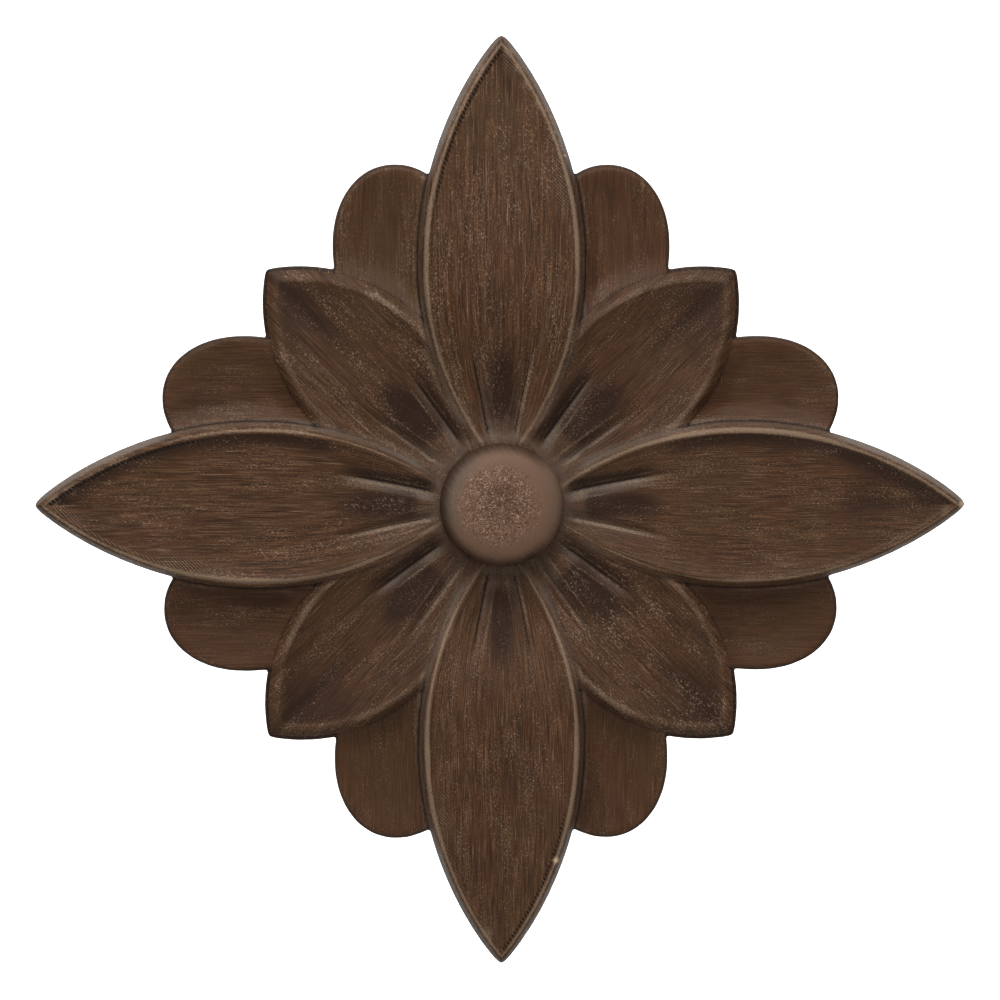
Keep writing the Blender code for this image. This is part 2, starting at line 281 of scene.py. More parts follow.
    def rim_row(self, offset: float, pitch: float, first_along: float) -> Array:
        """Points at one plan distance outside the crest, from the boss to the tip.

        Args:
            offset: Plan distance outside the crest.
            pitch: Spacing of the points.
            first_along: Place along the axis where the row starts.

        Returns:
            Rows of (along, across).
        """
        turn_in = math.asin((self.widest_at - first_along) / self.inner_radius)
        turn_out = math.asin((self.tip() + 2.0 - self.widest_at) / self.outer_radius)
        rows = []
        for first, last, radius in ((-turn_in, 0.0, self.inner_radius), (0.0, turn_out, self.outer_radius)):
            count = max(round((last - first) * radius / pitch), 1)
            turn = np.linspace(first, last, count, endpoint=False)
            reach = radius + offset
            across = self.half_width - radius + reach * np.cos(turn)
            rows.append(np.column_stack([self.widest_at + reach * np.sin(turn), across]))
        return np.vstack(rows)

    def gouge_row(self, side: float, pitch: float) -> Array:
        """Points at one distance beside the gouge's bottom, as rows of (along, across)."""
        along = np.arange(self.gouge.deepens[0], self.gouge.fades[1], pitch)
        return np.column_stack([along, self.gouge.line(along) + side])


@dataclass(frozen=True)
class Lobe:
    """Low rounded leaf between a large and a diagonal petal."""

    centre: tuple[float, float]
    half_size: tuple[float, float]
    squareness: float
    edge_height: float
    hollow: float
    rounding: float
    rounding_width: float

    def ring(self, x: Array, y: Array) -> Array:
        """1 on the lobe's outline in plan, less inside it and more outside.

        Args:
            x: Place to the right of the centre.
            y: Place above the centre.

        Returns:
            The share of the way out.
        """
        off_x = np.abs(x - self.centre[0]) / self.half_size[0]
        off_y = np.abs(y - self.centre[1]) / self.half_size[1]
        return (off_x**self.squareness + off_y**self.squareness) ** (1.0 / self.squareness)

    def reach(self, angle: Array) -> Array:
        """Radius from the centre to the lobe's outer edge, found by halving, or 0 off the lobe.

        Args:
            angle: Angles in radians.

        Returns:
            The radius at each angle.
        """
        near = np.full_like(angle, math.hypot(*self.centre))
        far = near + 2.0 * self.half_size[0]
        for _ in range(40):
            middle = (near + far) / 2.0
            inside = self.ring(middle * np.cos(angle), middle * np.sin(angle)) < 1.0
            near = np.where(inside, middle, near)
            far = np.where(inside, far, middle)
        on_lobe = self.ring(near * np.cos(angle), near * np.sin(angle)) < 1.01
        return np.where(on_lobe, near, 0.0)

    def height(self, x: Array, y: Array) -> Array:
        """A shallow bowl, rounded over at the edge.

        Args:
            x: Place to the right of the centre.
            y: Place above the centre.

        Returns:
            Height above the back.
        """
        ring = self.ring(x, y)
        surface = self.edge_height + self.rounding - self.hollow * (1.0 - np.minimum(ring, 1.0) ** 2)
        inwards = (1.0 - ring) * self.half_size[1]
        turn = np.clip(1.0 - inwards / self.rounding_width, 0.0, 1.0)
        outer_side = ease(x + y, sum(self.centre) - 12.0, sum(self.centre) + 4.0)
        rounded = self.edge_height + self.rounding * (1.0 - outer_side * (1.0 - np.sqrt(1.0 - turn**2)))
        return -np.logaddexp(-3.0 * surface, -3.0 * rounded) / 3.0


@dataclass(frozen=True)
class Boss:
    """Round button in the middle, with the petals rising a little towards it and a cut at its foot."""

    radius: float
    foot: float
    top: float
    squareness: float
    cove: float
    cove_level: float
    cut_radius: float
    cut_width: float
    cut_depth: float

    def over(self, radius: Array, under: Array) -> Array:
        """Lays the boss over the petals.

        Args:
            radius: Distance from the centre of the rosette.
            under: Height of the petals.

        Returns:
            Height of the two together.
        """
        cove = np.clip(1.0 - (radius - self.radius) / self.cove, 0.0, 1.0) ** 2
        dome = np.clip(1.0 - (radius / self.radius) ** self.squareness, 0.0, 1.0)
        button = self.foot + (self.top - self.foot) * dome ** (1.0 / self.squareness)
        slope = under + np.maximum(self.cove_level - under, 0.0) * cove
        height = np.where(radius < self.radius, button, slope)
        gap = np.abs(radius - self.cut_radius) / self.cut_width
        return height - self.cut_depth * np.clip(1.0 - gap, 0.0, 1.0)


@dataclass(frozen=True)
class Rosette:
    """The relief of the front: lobes, diagonal petals, large petals and boss, one over the other."""

    large: Petal
    diagonal: Petal
    lobe: Lobe
    boss: Boss
    notch_sharpness: float = 1.4
    arris: float = 0.5

    @staticmethod
    def fold(x: Array, y: Array) -> tuple[Array, Array]:
        """Brings points of the whole plan into its first eighth."""
        wide, high = np.abs(x), np.abs(y)
        return np.maximum(wide, high), np.minimum(wide, high)

    @staticmethod
    def to_diagonal(x: Array, y: Array) -> tuple[Array, Array]:
        """Place along and distance from the diagonal petal's axis, in the first eighth."""
        return (x + y) / ROOT_TWO, (x - y) / ROOT_TWO

    def edge_reach(self, angle: Array) -> Array:
        """Radius from the centre to the medallion's edge, for angles of the first eighth.

        Args:
            angle: Angles in radians.

        Returns:
            The radius at each angle, with the notches between leaves filled a little.
        """
        reaches = (
            self.large.edge_reach(angle),
            self.lobe.reach(angle),
            self.diagonal.edge_reach(math.pi / 4 - angle),
        )
        largest = np.max(reaches, axis=0)
        total = sum(np.exp(self.notch_sharpness * (r - largest)) for r in reaches)
        return largest + np.log(total) / self.notch_sharpness

    def edge_line(self, pitch: float) -> Array:
        """Evenly spaced points of the edge in the first eighth, as rows of (x, y).

        Args:
            pitch: Spacing of the points.

        Returns:
            The rows, from the large petal's tip to the diagonal.
        """
        angle = np.linspace(0.0, math.pi / 4, 6000)
        reach = self.edge_reach(angle)
        line = np.column_stack([reach * np.cos(angle), reach * np.sin(angle)])
        length = np.concatenate([[0.0], np.cumsum(np.hypot(*np.diff(line, axis=0).T))])
        even = np.linspace(0.0, length[-1], round(length[-1] / pitch) + 1)
        return np.column_stack([np.interp(even, length, line[:, i]) for i in (0, 1)])

    def edge_gap(self, x: Array, y: Array) -> Array:
        """Distance from points of the whole plan to the medallion's edge, up to 6 mm.

        Args:
            x: Places to the right of the centre.
            y: Places above the centre.

        Returns:
            The distances.
        """
        x, y = self.fold(x, y)
        line = self.edge_line(0.4)
        gap = np.full(x.shape, 6.0)
        near = np.flatnonzero(self.edge_reach(np.arctan2(y, x)) - np.hypot(x, y) < 14.0)
        for chunk in np.array_split(near, max(len(near) // 4000, 1)):
            off_x = x[chunk, None] - line[None, :, 0]
            off_y = y[chunk, None] - line[None, :, 1]
            gap[chunk] = np.minimum(np.sqrt((off_x**2 + off_y**2).min(axis=1)), 6.0)
        return gap

    def height(self, x: Array, y: Array) -> Array:
        """Height of the front above the back, at points of the whole plan.

        Args:
            x: Places to the right of the centre.
            y: Places above the centre.

        Returns:
            The heights.
        """
        x, y = self.fold(x, y)
        height = self.lobe.height(x, y)
        height = self.diagonal.over(*self.to_diagonal(x, y), height)
        height = self.large.over(x, y, height)
        return self.boss.over(np.hypot(x, y), height)

    def layer(self, x: Array, y: Array) -> Array:
        """Layer that lies on top at points of the whole plan.

        Args:
            x: Places to the right of the centre.
            y: Places above the centre.

        Returns:
            The number of the layer at each point.
        """
        x, y = self.fold(x, y)
        top = np.full(x.shape, Layer.LOBE)
        top[self.diagonal.outside(*self.to_diagonal(x, y)) < 2.4] = Layer.DIAGONAL
        top[self.large.outside(x, y) < 2.4] = Layer.LARGE
        top[np.hypot(x, y) < self.boss.radius] = Layer.BOSS
        return top


ROSETTE = Rosette(
    large=Petal(
        widest_at=78.0,
        half_width=24.3,
        outer_radius=114.0,
        inner_radius=101.0,
        edge_offset=2.4,
        tip_rounding=0.69,
        crest_at_boss=9.7,
        crest_at_top=16.9,
        crest_at_tip=12.6,
        crest_rise=(28.0, 68.0),
        tip_fall=1.5,
        dish_depth=1.8,
        dish_taper=0.45,
        dish_fullness=4.6,
        valley_from=(92.0, 118.0),
        rim_width=0.9,
        rim_widening=0.6,
        rim_step=0.45,
        foot_at=2.7,
        foot_drop=(0.7, 0.88),
        flare_width=6.0,
        gouge=Gouge((24.0, 4.6), 0.2, (19.0, 25.0), (42.0, 58.0), 1.5, 3.3, 6.0),
    ),
    diagonal=Petal(
        widest_at=59.5,
        half_width=21.6,
        outer_radius=54.0,
        inner_radius=60.0,
        edge_offset=3.6,
        tip_rounding=0.4,
        crest_at_boss=8.8,
        crest_at_top=12.9,
        crest_at_tip=10.2,
        crest_rise=(24.0, 64.0),
        tip_fall=2.0,
        dish_depth=3.4,
        dish_taper=1.3,
        dish_fullness=2.1,
        valley_from=(56.0, 88.0),
        rim_width=1.2,
        rim_widening=0.0,
        rim_step=0.4,
        foot_at=2.5,
        foot_drop=(0.5, 0.5),
        flare_width=7.0,
        gouge=Gouge((26.0, 5.2), 0.16, (20.0, 27.0), (42.0, 55.0), 1.3, 3.0, 4.6),
    ),
    lobe=Lobe(
        centre=(83.1, 34.1),
        half_size=(26.2, 20.2),
        squareness=2.12,
        edge_height=7.0,
        hollow=2.5,
        rounding=2.6,
        rounding_width=2.8,
    ),
    boss=Boss(
        radius=20.0,
        foot=10.0,
        top=19.0,
        squareness=3.1,
        cove=4.5,
        cove_level=10.3,
        cut_radius=20.2,
        cut_width=0.8,
        cut_depth=0.35,
    ),
)


@dataclass
class PlanSheet:
    """Flat net of triangles over the first eighth of the plan, finest along the rims and cuts."""

    rosette: Rosette
    row_pitch: float = 1.0
    open_pitch: float = 0.98
    edge_pitch: float = 0.75
    axis_pitch: float = 0.9
    ring_pitch: float = 0.85
    gouge_pitch: float = 0.9
    rows_from: float = 21.0
    clear_of_boss: float = 22.7
    clear_of_large: float = 0.6
    cell: float = 1.2
    rim_rows: tuple[float, ...] = (
        0.0, 0.3, -0.35, 0.65, -0.8, 1.1, -1.2, 1.6, -1.6, 2.1, -2.0, 2.7, -2.5, 3.8, -3.2, 4.5, -4.0, 5.5,
    )
    boss_rows: tuple[float, ...] = (
        20.0, 19.9, 19.65, 19.3, 18.8, 18.2, 17.5, 16.7, 15.8, 14.9, 14.0, 13.0, 12.0, 11.0, 10.0, 9.0,
        8.0, 7.0, 6.0, 5.0, 4.0, 3.0, 2.0, 1.0, 20.4, 20.9, 21.3, 21.7, 22.3,
    )
    gouge_rows: tuple[float, ...] = (0.0, -3.1, -0.6, 0.5, -1.2, 1.0, -1.8, 1.6, -2.4, 2.3, -3.7)
    edge_rows: tuple[float, ...] = (0.2, 0.5, 0.9, 1.5, 2.2)
    points: list[tuple[float, float]] = field(default_factory=list)
    cells: dict[tuple[int, int], list[tuple[float, float]]] = field(default_factory=dict)

    def put(self, x: float, y: float, clearance: float) -> None:
        """Adds a point unless another lies within the clearance.

        Args:
            x: Its place to the right.
            y: Its place upwards.
            clearance: Least distance between two points.
        """
        column, row = int(x // self.cell), int(y // self.cell)
        for i in (column - 1, column, column + 1):
            for j in (row - 1, row, row + 1):
                for other_x, other_y in self.cells.get((i, j), ()):
                    if math.hypot(other_x - x, other_y - y) < clearance:
                        return
        self.cells.setdefault((column, row), []).append((x, y))
        self.points.append((x, y))

    def put_inside(self, rows: Array, clearance: float, margin: float) -> None:
        """Adds the points that lie inside the eighth, clear of its borders.

        Args:
            rows: Rows of (x, y).
            clearance: Least distance between two points.
            margin: Least distance from the borders.
        """
        x, y = rows[:, 0], rows[:, 1]
        free = (y > margin) & ((x - y) / ROOT_TWO > margin)
        reach = self.rosette.edge_reach(np.arctan2(y, np.maximum(x, 0.001)))
        free &= np.hypot(x, y) + 0.3 * margin < reach
        for at_x, at_y in rows[free]:
            self.put(float(at_x), float(at_y), clearance)

    @staticmethod
    def from_diagonal(rows: Array) -> Array:
        """Turns the diagonal petal's rows of (along, across) into rows of (x, y)."""
        u, v = rows.T
        return np.column_stack([(u + v) / ROOT_TWO, (u - v) / ROOT_TWO])

    def border(self) -> list[tuple[float, float]]:
        """The eighth's border: out along the large petal, round the edge, back down the diagonal.

        Returns:
            The border's points in order.
        """
        edge = self.rosette.edge_line(self.edge_pitch)
        start = max(self.boss_rows)
        inner = [0.0] + sorted(self.boss_rows)
        tip = float(edge[0, 0])
        far_out = np.linspace(start, tip, round((tip - start) / self.axis_pitch) + 1)[1:-1]
        corner = float(edge[-1].sum()) / ROOT_TWO
        far_up = np.linspace(start, corner, round((corner - start) / self.axis_pitch) + 1)[1:-1]
        along_large = [(radius, 0.0) for radius in (*inner, *far_out)]
        diagonal = [radius / ROOT_TWO for radius in (*inner[1:], *far_up)]
        round_edge = [(float(x), float(y)) for x, y in edge[:-1]]
        last = corner / ROOT_TWO
        return along_large + round_edge + [(last, last)] + [(d, d) for d in reversed(diagonal)]

    def fill(self) -> None:
        """Puts the rows along rims, cuts, boss and edge, then covers what is open."""
        rosette = self.rosette
        for radius in self.boss_rows:
            count = max(round(radius * math.pi / 4 / self.ring_pitch), 1)
            angle = np.linspace(0.0, math.pi / 4, count + 1)[1:-1]
            ring = np.column_stack([radius * np.cos(angle), radius * np.sin(angle)])
            self.put_inside(ring, 0.08, 0.05)
        for offset in (rosette.large.foot_at, *self.rim_rows):
            row = rosette.large.rim_row(offset, self.row_pitch, self.rows_from)
            self.put_inside(row[np.hypot(*row.T) > self.clear_of_boss], 0.27, 0.25)
        for offset in (rosette.diagonal.foot_at, *self.rim_rows):
            row = self.from_diagonal(rosette.diagonal.rim_row(offset, self.row_pitch, self.rows_from))
            clear = rosette.large.outside(*row.T) > self.clear_of_large
            clear &= np.hypot(*row.T) > self.clear_of_boss
            self.put_inside(row[clear], 0.3, 0.25)
        edge = rosette.edge_line(self.edge_pitch)
        run = np.gradient(edge, axis=0)
        run /= np.hypot(*run.T)[:, None]
        for inset in self.edge_rows:
            inner = edge + inset * np.column_stack([-run[:, 1], run[:, 0]])
            self.put_inside(inner, 0.18 if inset < 0.8 else 0.4, 0.18)
        for side in self.gouge_rows:
            self.put_inside(rosette.large.gouge_row(side, self.gouge_pitch), 0.42, 0.35)
            row = self.from_diagonal(rosette.diagonal.gouge_row(side, self.gouge_pitch))
            self.put_inside(row[rosette.large.outside(*row.T) > self.clear_of_large], 0.42, 0.35)
        height = self.open_pitch * math.sqrt(0.75)
        row, column = np.mgrid[0 : int(90.0 / height), 0 : int(152.0 / self.open_pitch)]
        x = (column + 0.5 * (row % 2)) * self.open_pitch
        y = (row + 0.5) * height
        self.put_inside(np.column_stack([x.ravel(), y.ravel()]), 0.62 * self.open_pitch, 0.4)

    def triangles(self) -> tuple[Array, list[list[int]]]:
        """Joins the points into triangles.

        Returns:
            Rows of (x, y) in millimetres, and the corners of each triangle.
        """
        border = self.border()
        for x, y in border:
            self.put(x, y, 0.0)
        self.fill()
        ring = [(i, (i + 1) % len(border)) for i in range(len(border))]
        flat = [Vector(point) for point in self.points]
        placed, _, faces, _, _, _ = delaunay_2d_cdt(flat, ring, [], 1, 0.00001)
        return np.array([tuple(point) for point in placed]), faces


@dataclass(frozen=True)
class Unevenness:
    """Slight waviness that the carving leaves, always below the drawn surface."""

    depth: float = 0.16
    waves: int = 26
    shortest: float = 7.0
    longest: float = 38.0
    seed: int = 11

    def lowering(self, x: Array, y: Array) -> Array:
        """How far the surface lies below the drawn one, at points of the whole plan.

        Args:
            x: Places to the right of the centre.
            y: Places above the centre.

        Returns:
            The lowering, from 0 to the depth.
        """
        rng = np.random.default_rng(self.seed)
        total = np.zeros_like(x)
        for _ in range(self.waves):
            length = rng.uniform(self.shortest, self.longest)
            turn = rng.uniform(0.0, math.tau)
            phase = rng.uniform(0.0, math.tau)
            total += np.sin(math.tau * (x * math.cos(turn) + y * math.sin(turn)) / length + phase)
        share = 0.5 + 0.5 * total / math.sqrt(self.waves)
        return self.depth * np.clip(share, 0.0, 1.0)


@dataclass(frozen=True)
class Chip:
    """Small knocked place where pale wood shows."""

    x: float
    y: float
    radius: float
    depth: float

    def cover(self, x: Array, y: Array) -> Array:
        """1 in the middle of the chip, falling to 0 at its border."""
        return np.clip(1.0 - np.hypot(x - self.x, y - self.y) / self.radius, 0.0, 1.0)


CHIPS = (
    Chip(148.9, -0.2, 1.4, 0.5),
    Chip(17.6, -115.2, 1.3, 0.35),
    Chip(20.2, 111.6, 0.7, 0.2),
)


@dataclass(frozen=True)
class TipHighlight:
    """Small painted highlight inside a rim near a tip, broken into light specks."""

    x: float
    y: float
    radius: float
    strength: float

    def cover(self, x: Array, y: Array) -> Array:
        """Strength at points of the whole plan."""
        return self.strength * np.exp(-(((x - self.x) ** 2 + (y - self.y) ** 2) / self.radius**2))


# Painted highlights inside the rims near the tips of the large petals.
TIP_HIGHLIGHTS = (
    TipHighlight(2.2, 144.5, 2.2, 0.7),
    TipHighlight(4.8, 139.5, 2.4, 0.65),
    TipHighlight(7.6, 134.0, 2.2, 0.55),
    TipHighlight(10.6, 128.0, 2.0, 0.4),
    TipHighlight(-143.5, 2.0, 2.4, 0.55),
    TipHighlight(-138.0, 4.4, 2.0, 0.4),
    TipHighlight(-4.4, -139.0, 2.2, 0.35),
    TipHighlight(143.5, -2.0, 2.0, 0.5),
)


@dataclass(frozen=True)
class Places:
    """Points of the whole plan with their position on the leaves, all in millimetres.

    `along` and `across` count on the nearest large petal, `u` and `v` on the nearest diagonal
    one. `upright` is true where the nearest large petal is the upper or the lower one. `lit` and
    `lit_diagonal` tell how far a slope that faces the petal's axis looks up to the light, from -1
    to 1.
    """

    x: Array
    y: Array
    radius: Array
    along: Array
    across: Array
    u: Array
    v: Array
    off_large: Array
    off_diagonal: Array
    layer: Array
    gap: Array
    crease: Array
    upright: Array
    slope_x: Array
    slope_y: Array
    lit: Array
    lit_diagonal: Array

    @classmethod
    def on(cls, rosette: Rosette, x: Array, y: Array) -> Places:
        """Works the points out.

        Args:
            rosette: The carving.
            x: Places to the right of the centre.
            y: Places above the centre.

        Returns:
            The points with all their measures.
        """
        along, across = rosette.fold(x, y)
        u, v = rosette.to_diagonal(along, across)
        step = 0.25
        slope_x = (rosette.height(x + step, y) - rosette.height(x - step, y)) / (2.0 * step)
        slope_y = (rosette.height(x, y + step) - rosette.height(x, y - step)) / (2.0 * step)
        upright = np.abs(y) > np.abs(x)
        lit = np.where(upright, 0.15 * np.sign(x), -np.sign(y))
        side = np.sign(np.abs(x) - np.abs(y))
        lit_diagonal = side * (0.3 * np.sign(x) + 0.9 * np.sign(y)) / ROOT_TWO
        return cls(
            x=x, y=y, radius=np.hypot(x, y), along=along, across=across, u=u, v=np.abs(v),
            off_large=rosette.large.outside(along, across), off_diagonal=rosette.diagonal.outside(u, v),
            layer=rosette.layer(x, y), gap=rosette.edge_gap(x, y), crease=cls.sunk(rosette, x, y, 1.0),
            upright=upright, slope_x=slope_x, slope_y=slope_y, lit=lit, lit_diagonal=lit_diagonal,
        )

    @staticmethod
    def sunk(rosette: Rosette, x: Array, y: Array, radius: float) -> Array:
        """How far the surface lies below a ring of its surroundings, negative on ridges.

        Args:
            rosette: The carving.
            x: Places to the right of the centre.
            y: Places above the centre.
            radius: Radius of the ring.

        Returns:
            The depth below the ring's mean.
        """
        around = np.zeros_like(x)
        for turn in np.arange(8) * math.tau / 8:
            around += rosette.height(x + radius * math.cos(turn), y + radius * math.sin(turn))
        return around / 8.0 - rosette.height(x, y)

    def top(self, layer: Layer) -> Array:
        """True where a layer lies on top."""
        return self.layer == layer


@dataclass(frozen=True)
class WearAndPaintedLight:
    """Where the finish is rubbed, dark or hazed, and where light and shade are painted into it, worked out
    from the carving's own forms.
    """

    rosette: Rosette

    def masks(self, x: Array, y: Array) -> dict[str, Array]:
        """Strength of each sign of wear at points of the whole plan.

        Args:
            x: Places to the right of the centre.
            y: Places above the centre.

        Returns:
            From 0 to 1 by name: rubbed to tan with painted highlights, dark lines of soil with painted shade
            (soil), painted shade in the notches (teeth), stained darker with painted shade, wax haze with a
            painted reflection, polish of the boss, flecked with light, furrows of the cutter (tooling) and
            bare wood.
        """
        at = Places.on(self.rosette, x, y)
        on_boss, on_lobe = at.top(Layer.BOSS), at.top(Layer.LOBE)
        cuts = self.gouges(at)
        foot = 0.15 * (1.0 - ease(at.radius, 21.5, 25.0)) + 0.28 * (1.0 - ease(at.radius, 26.0, 46.0))
        off_centre = np.hypot(x + 1.2, y - 0.3)
        flecked = np.where(on_boss, 1.0 - ease(off_centre, 9.5, 15.5), np.where(on_lobe, 0.25, 0.75))
        bare = np.max([chip.cover(x, y) for chip in CHIPS], axis=0)
        masks = {
            "rubbed_and_highlight": (self.rims(at) + cuts["rubbed_and_highlight"]) * ~on_boss,
            "soil_and_shade": self.lines(at) + cuts["soil_and_shade"],
            "notch_shade": self.notch_shade(at),
            "stained": self.stains_and_shade(at) + cuts["stained"],
            "haze": np.where(on_boss, self.boss_haze(at), self.walls(at) + foot + cuts["haze"]),
            "polish": on_boss.astype(float),
            "flecked": flecked + cuts["flecked"],
            "tooling": self.tooling(at),
            "bare": bare,
        }
        return {name: np.clip(value, 0.0, 1.0) for name, value in masks.items()}

    def rims(self, at: Places) -> Array:
        """Lighter wood on rims, ridges and along the feet of the walls, with painted highlights inside the
        rims near the tips.

        Args:
            at: The places.

        Returns:
            The share at each place, not yet held to 0 to 1.
        """
        a, large, diagonal = at.along, at.top(Layer.LARGE), at.top(Layer.DIAGONAL)
        middle = 0.2 - 0.4 * ease(a, 62.0, 84.0) - 0.4 * ease(a, 96.0, 118.0)
        width = 0.6 + 0.3 * ease(a, 60.0, 76.0) - 0.45 * ease(a, 96.0, 118.0)
        strength = 0.6 + 0.35 * ease(a, 26.0, 46.0) - 0.15 * ease(a, 76.0, 100.0)
        strength = strength * np.where(at.upright, 1.0, 0.78 + 0.2 * np.sign(at.x * at.y))
        width = width * np.where(at.upright, 0.9, 0.85 + 0.2 * np.sign(at.x * at.y))
        rim = large * plateau(at.off_large, middle, width) * strength
        # Painted highlights inside the rims near the tips.
        rim = rim + large * np.max([highlight.cover(at.x, at.y) for highlight in TIP_HIGHLIGHTS], axis=0)
        soft = plateau(at.off_diagonal, -0.5, 1.2) * ease(at.u, 36.0, 56.0)
        soft = soft * (1.0 - 0.5 * ease(at.u, 68.0, 92.0))
        rim = rim + 0.42 * diagonal * soft
        beside_foot = bell(at.off_large, self.rosette.large.foot_at + 1.3, 0.4) * ~large
        rim = rim + 0.3 * beside_foot + 0.5 * np.clip(-at.crease - 0.06, 0.0, 0.5)
        return np.where(at.top(Layer.LOBE), 0.2 * bell(at.gap, 1.6, 0.4) + 0.3 * beside_foot, rim)

    def lines(self, at: Places) -> Array:
        """Thin dark lines in the creases, along the feet of the walls and round the lobes: dirt with painted
        shade.

        Args:
            at: The places.

        Returns:
            The share at each place, not yet held to 0 to 1.
        """
        lobe = at.top(Layer.LOBE)
        # Darker where the surface sinks below its surroundings: dirt and painted shade in the creases.
        line = np.clip(1.3 * at.crease - 0.1, 0.0, 0.4) * (1.0 - 0.6 * bell(at.radius, 20.2, 1.5))
        line = line + 0.4 * bell(at.off_large, self.rosette.large.foot_at, 0.45) * ease(at.along, 20.0, 24.0)
        line = line + 0.5 * bell(at.off_diagonal, self.rosette.diagonal.foot_at, 0.45) * lobe
        inner = 0.3 * at.top(Layer.LARGE) * bell(at.off_large, -1.35, 0.35)
        line = line + inner * (1.0 - ease(at.along, 92.0, 110.0))
        line = line + 0.55 * lobe * (1.0 - ease(at.gap, 0.4, 1.9))
        return np.where(at.top(Layer.BOSS), 0.35 * ease(at.radius, 19.2, 20.0), line)

    def crossed(self, at: Places) -> Array:
        """How far the cutter's furrows run across the nearest rim of a large petal, 0 to 1.

        Args:
            at: The places.

        Returns:
            The share.
        """
        large = self.rosette.large
        radius, centre = large.arc(at.along)
        rim_along, rim_across = (at.along - large.widest_at) / radius, (at.across - centre) / radius
        rim_x = np.sign(at.x) * np.where(at.upright, rim_across, rim_along)
        rim_y = np.sign(at.y) * np.where(at.upright, rim_along, rim_across)
        return ease(np.abs(rim_x - rim_y) / ROOT_TWO, 0.55, 0.9)

    def notch_shade(self, at: Places) -> Array:
        """Painted shade in the notches inside a rim near the tip, where the furrows run across it.

        Args:
            at: The places.

        Returns:
            The share at each place, not yet held to 0 to 1.
        """
        # Painted shade, strongest on the sides that face away from the light.
        shaded = np.clip(0.75 - 0.6 * at.lit, 0.0, 1.0)
        band = bell(at.off_large, -1.75, 0.6) * ease(at.along, 84.0, 108.0)
        return at.top(Layer.LARGE) * band * self.crossed(at) * shaded

    def stains_and_shade(self, at: Places) -> Array:
        """Broad places where the stain lies darker, with painted shade inside the rims that look away from
        the light.

        Args:
            at: The places.

        Returns:
            The share at each place, not yet held to 0 to 1.
        """
        a, large, diagonal = at.along, at.top(Layer.LARGE), at.top(Layer.DIAGONAL)
        base = large * bell(at.across, 0.0, 5.0) * ease(a, 24.0, 30.0) * (1.0 - ease(a, 40.0, 62.0))
        base += diagonal * bell(at.v, 0.0, 5.0) * ease(at.u, 28.0, 34.0) * (1.0 - ease(at.u, 42.0, 58.0))
        valley = large * bell(at.across, 0.0, 2.4) * ease(a, 98.0, 118.0) * (1.0 - ease(a, 138.0, 147.0))
        valley += diagonal * bell(at.v, 0.0, 2.0) * ease(at.u, 62.0, 76.0)
        # Painted shade inside the rims of the large petals whose inner slopes face away from the light.
        below_rim = ease(-at.off_large, 0.9, 1.4) * (1.0 - ease(-at.off_large, 2.5, 8.0))
        below_rim = below_rim * ease(a, 44.0, 60.0)
        shade = large * below_rim * np.clip(-at.lit, 0.0, 1.0)
        stain = 1.1 * base + 0.35 * valley + 0.85 * shade + 0.33 * diagonal
        stain += 0.4 * diagonal * ease(at.u, 70.0, 96.0) * ease(-at.off_diagonal, 0.8, 4.0)
        stain += 0.35 * large * ease(at.x, 98.0, 118.0) * ease(-at.off_large, 0.8, 2.4)
        stain += 0.25 * at.top(Layer.LOBE) * ease(at.gap, 3.0, 6.0) * ease(at.off_large, 6.0, 12.0)
        right = ease(at.x - 0.3 * np.abs(at.y), 4.0, 14.0)
        edge = ease(at.radius, 14.5, 19.5) * (1.0 - 0.7 * right)
        middle = 1.0 - ease(np.hypot(at.x + 0.5, at.y - 1.0), 4.0, 12.0)
        return np.where(at.top(Layer.BOSS), 0.75 * edge + 0.46 * middle, stain)

    def walls(self, at: Places) -> Array:
        """Grey wax haze on the walls with a painted reflection of the pale surroundings, most of all where
        they look up.

        Args:
            at: The places.

        Returns:
            The share at each place, not yet held to 0 to 1.
        """
        # Painted reflection, stronger on walls that face up to the light.
        up = 0.75 - 0.1 * at.lit - 0.25 * np.clip(at.lit, 0.0, 1.0)
        walls = ease(at.off_large, 0.5, 1.4) * (1.0 - ease(at.off_large, 2.8, 4.6))
        walls = walls * ease(at.along, 22.0, 30.0)
        outer_band = at.top(Layer.LARGE) * ease(at.off_large, -0.2, 0.8) * ease(at.along, 106.0, 118.0)
        beside_diagonal = at.top(Layer.LOBE) * (1.0 - ease(at.off_diagonal, 4.0, 8.0))
        return 0.65 * walls * up + 0.8 * outer_band * up + 0.16 * beside_diagonal

    def boss_haze(self, at: Places) -> Array:
        """Grey wax haze and a painted reflection on the boss's left shoulder, and a little on the right.

        Args:
            at: The places.

        Returns:
            The share at each place, not yet held to 0 to 1.
        """
        shoulder = ease(at.radius, 12.5, 16.5)
        left = ease(-at.x, 6.0, 13.0) * (1.0 - ease(-at.y, 2.0, 10.0))
        right = 0.4 * ease(at.x, 8.0, 14.0) * (1.0 - ease(-at.y, 0.0, 8.0))
        return 0.85 * shoulder * (left + right)

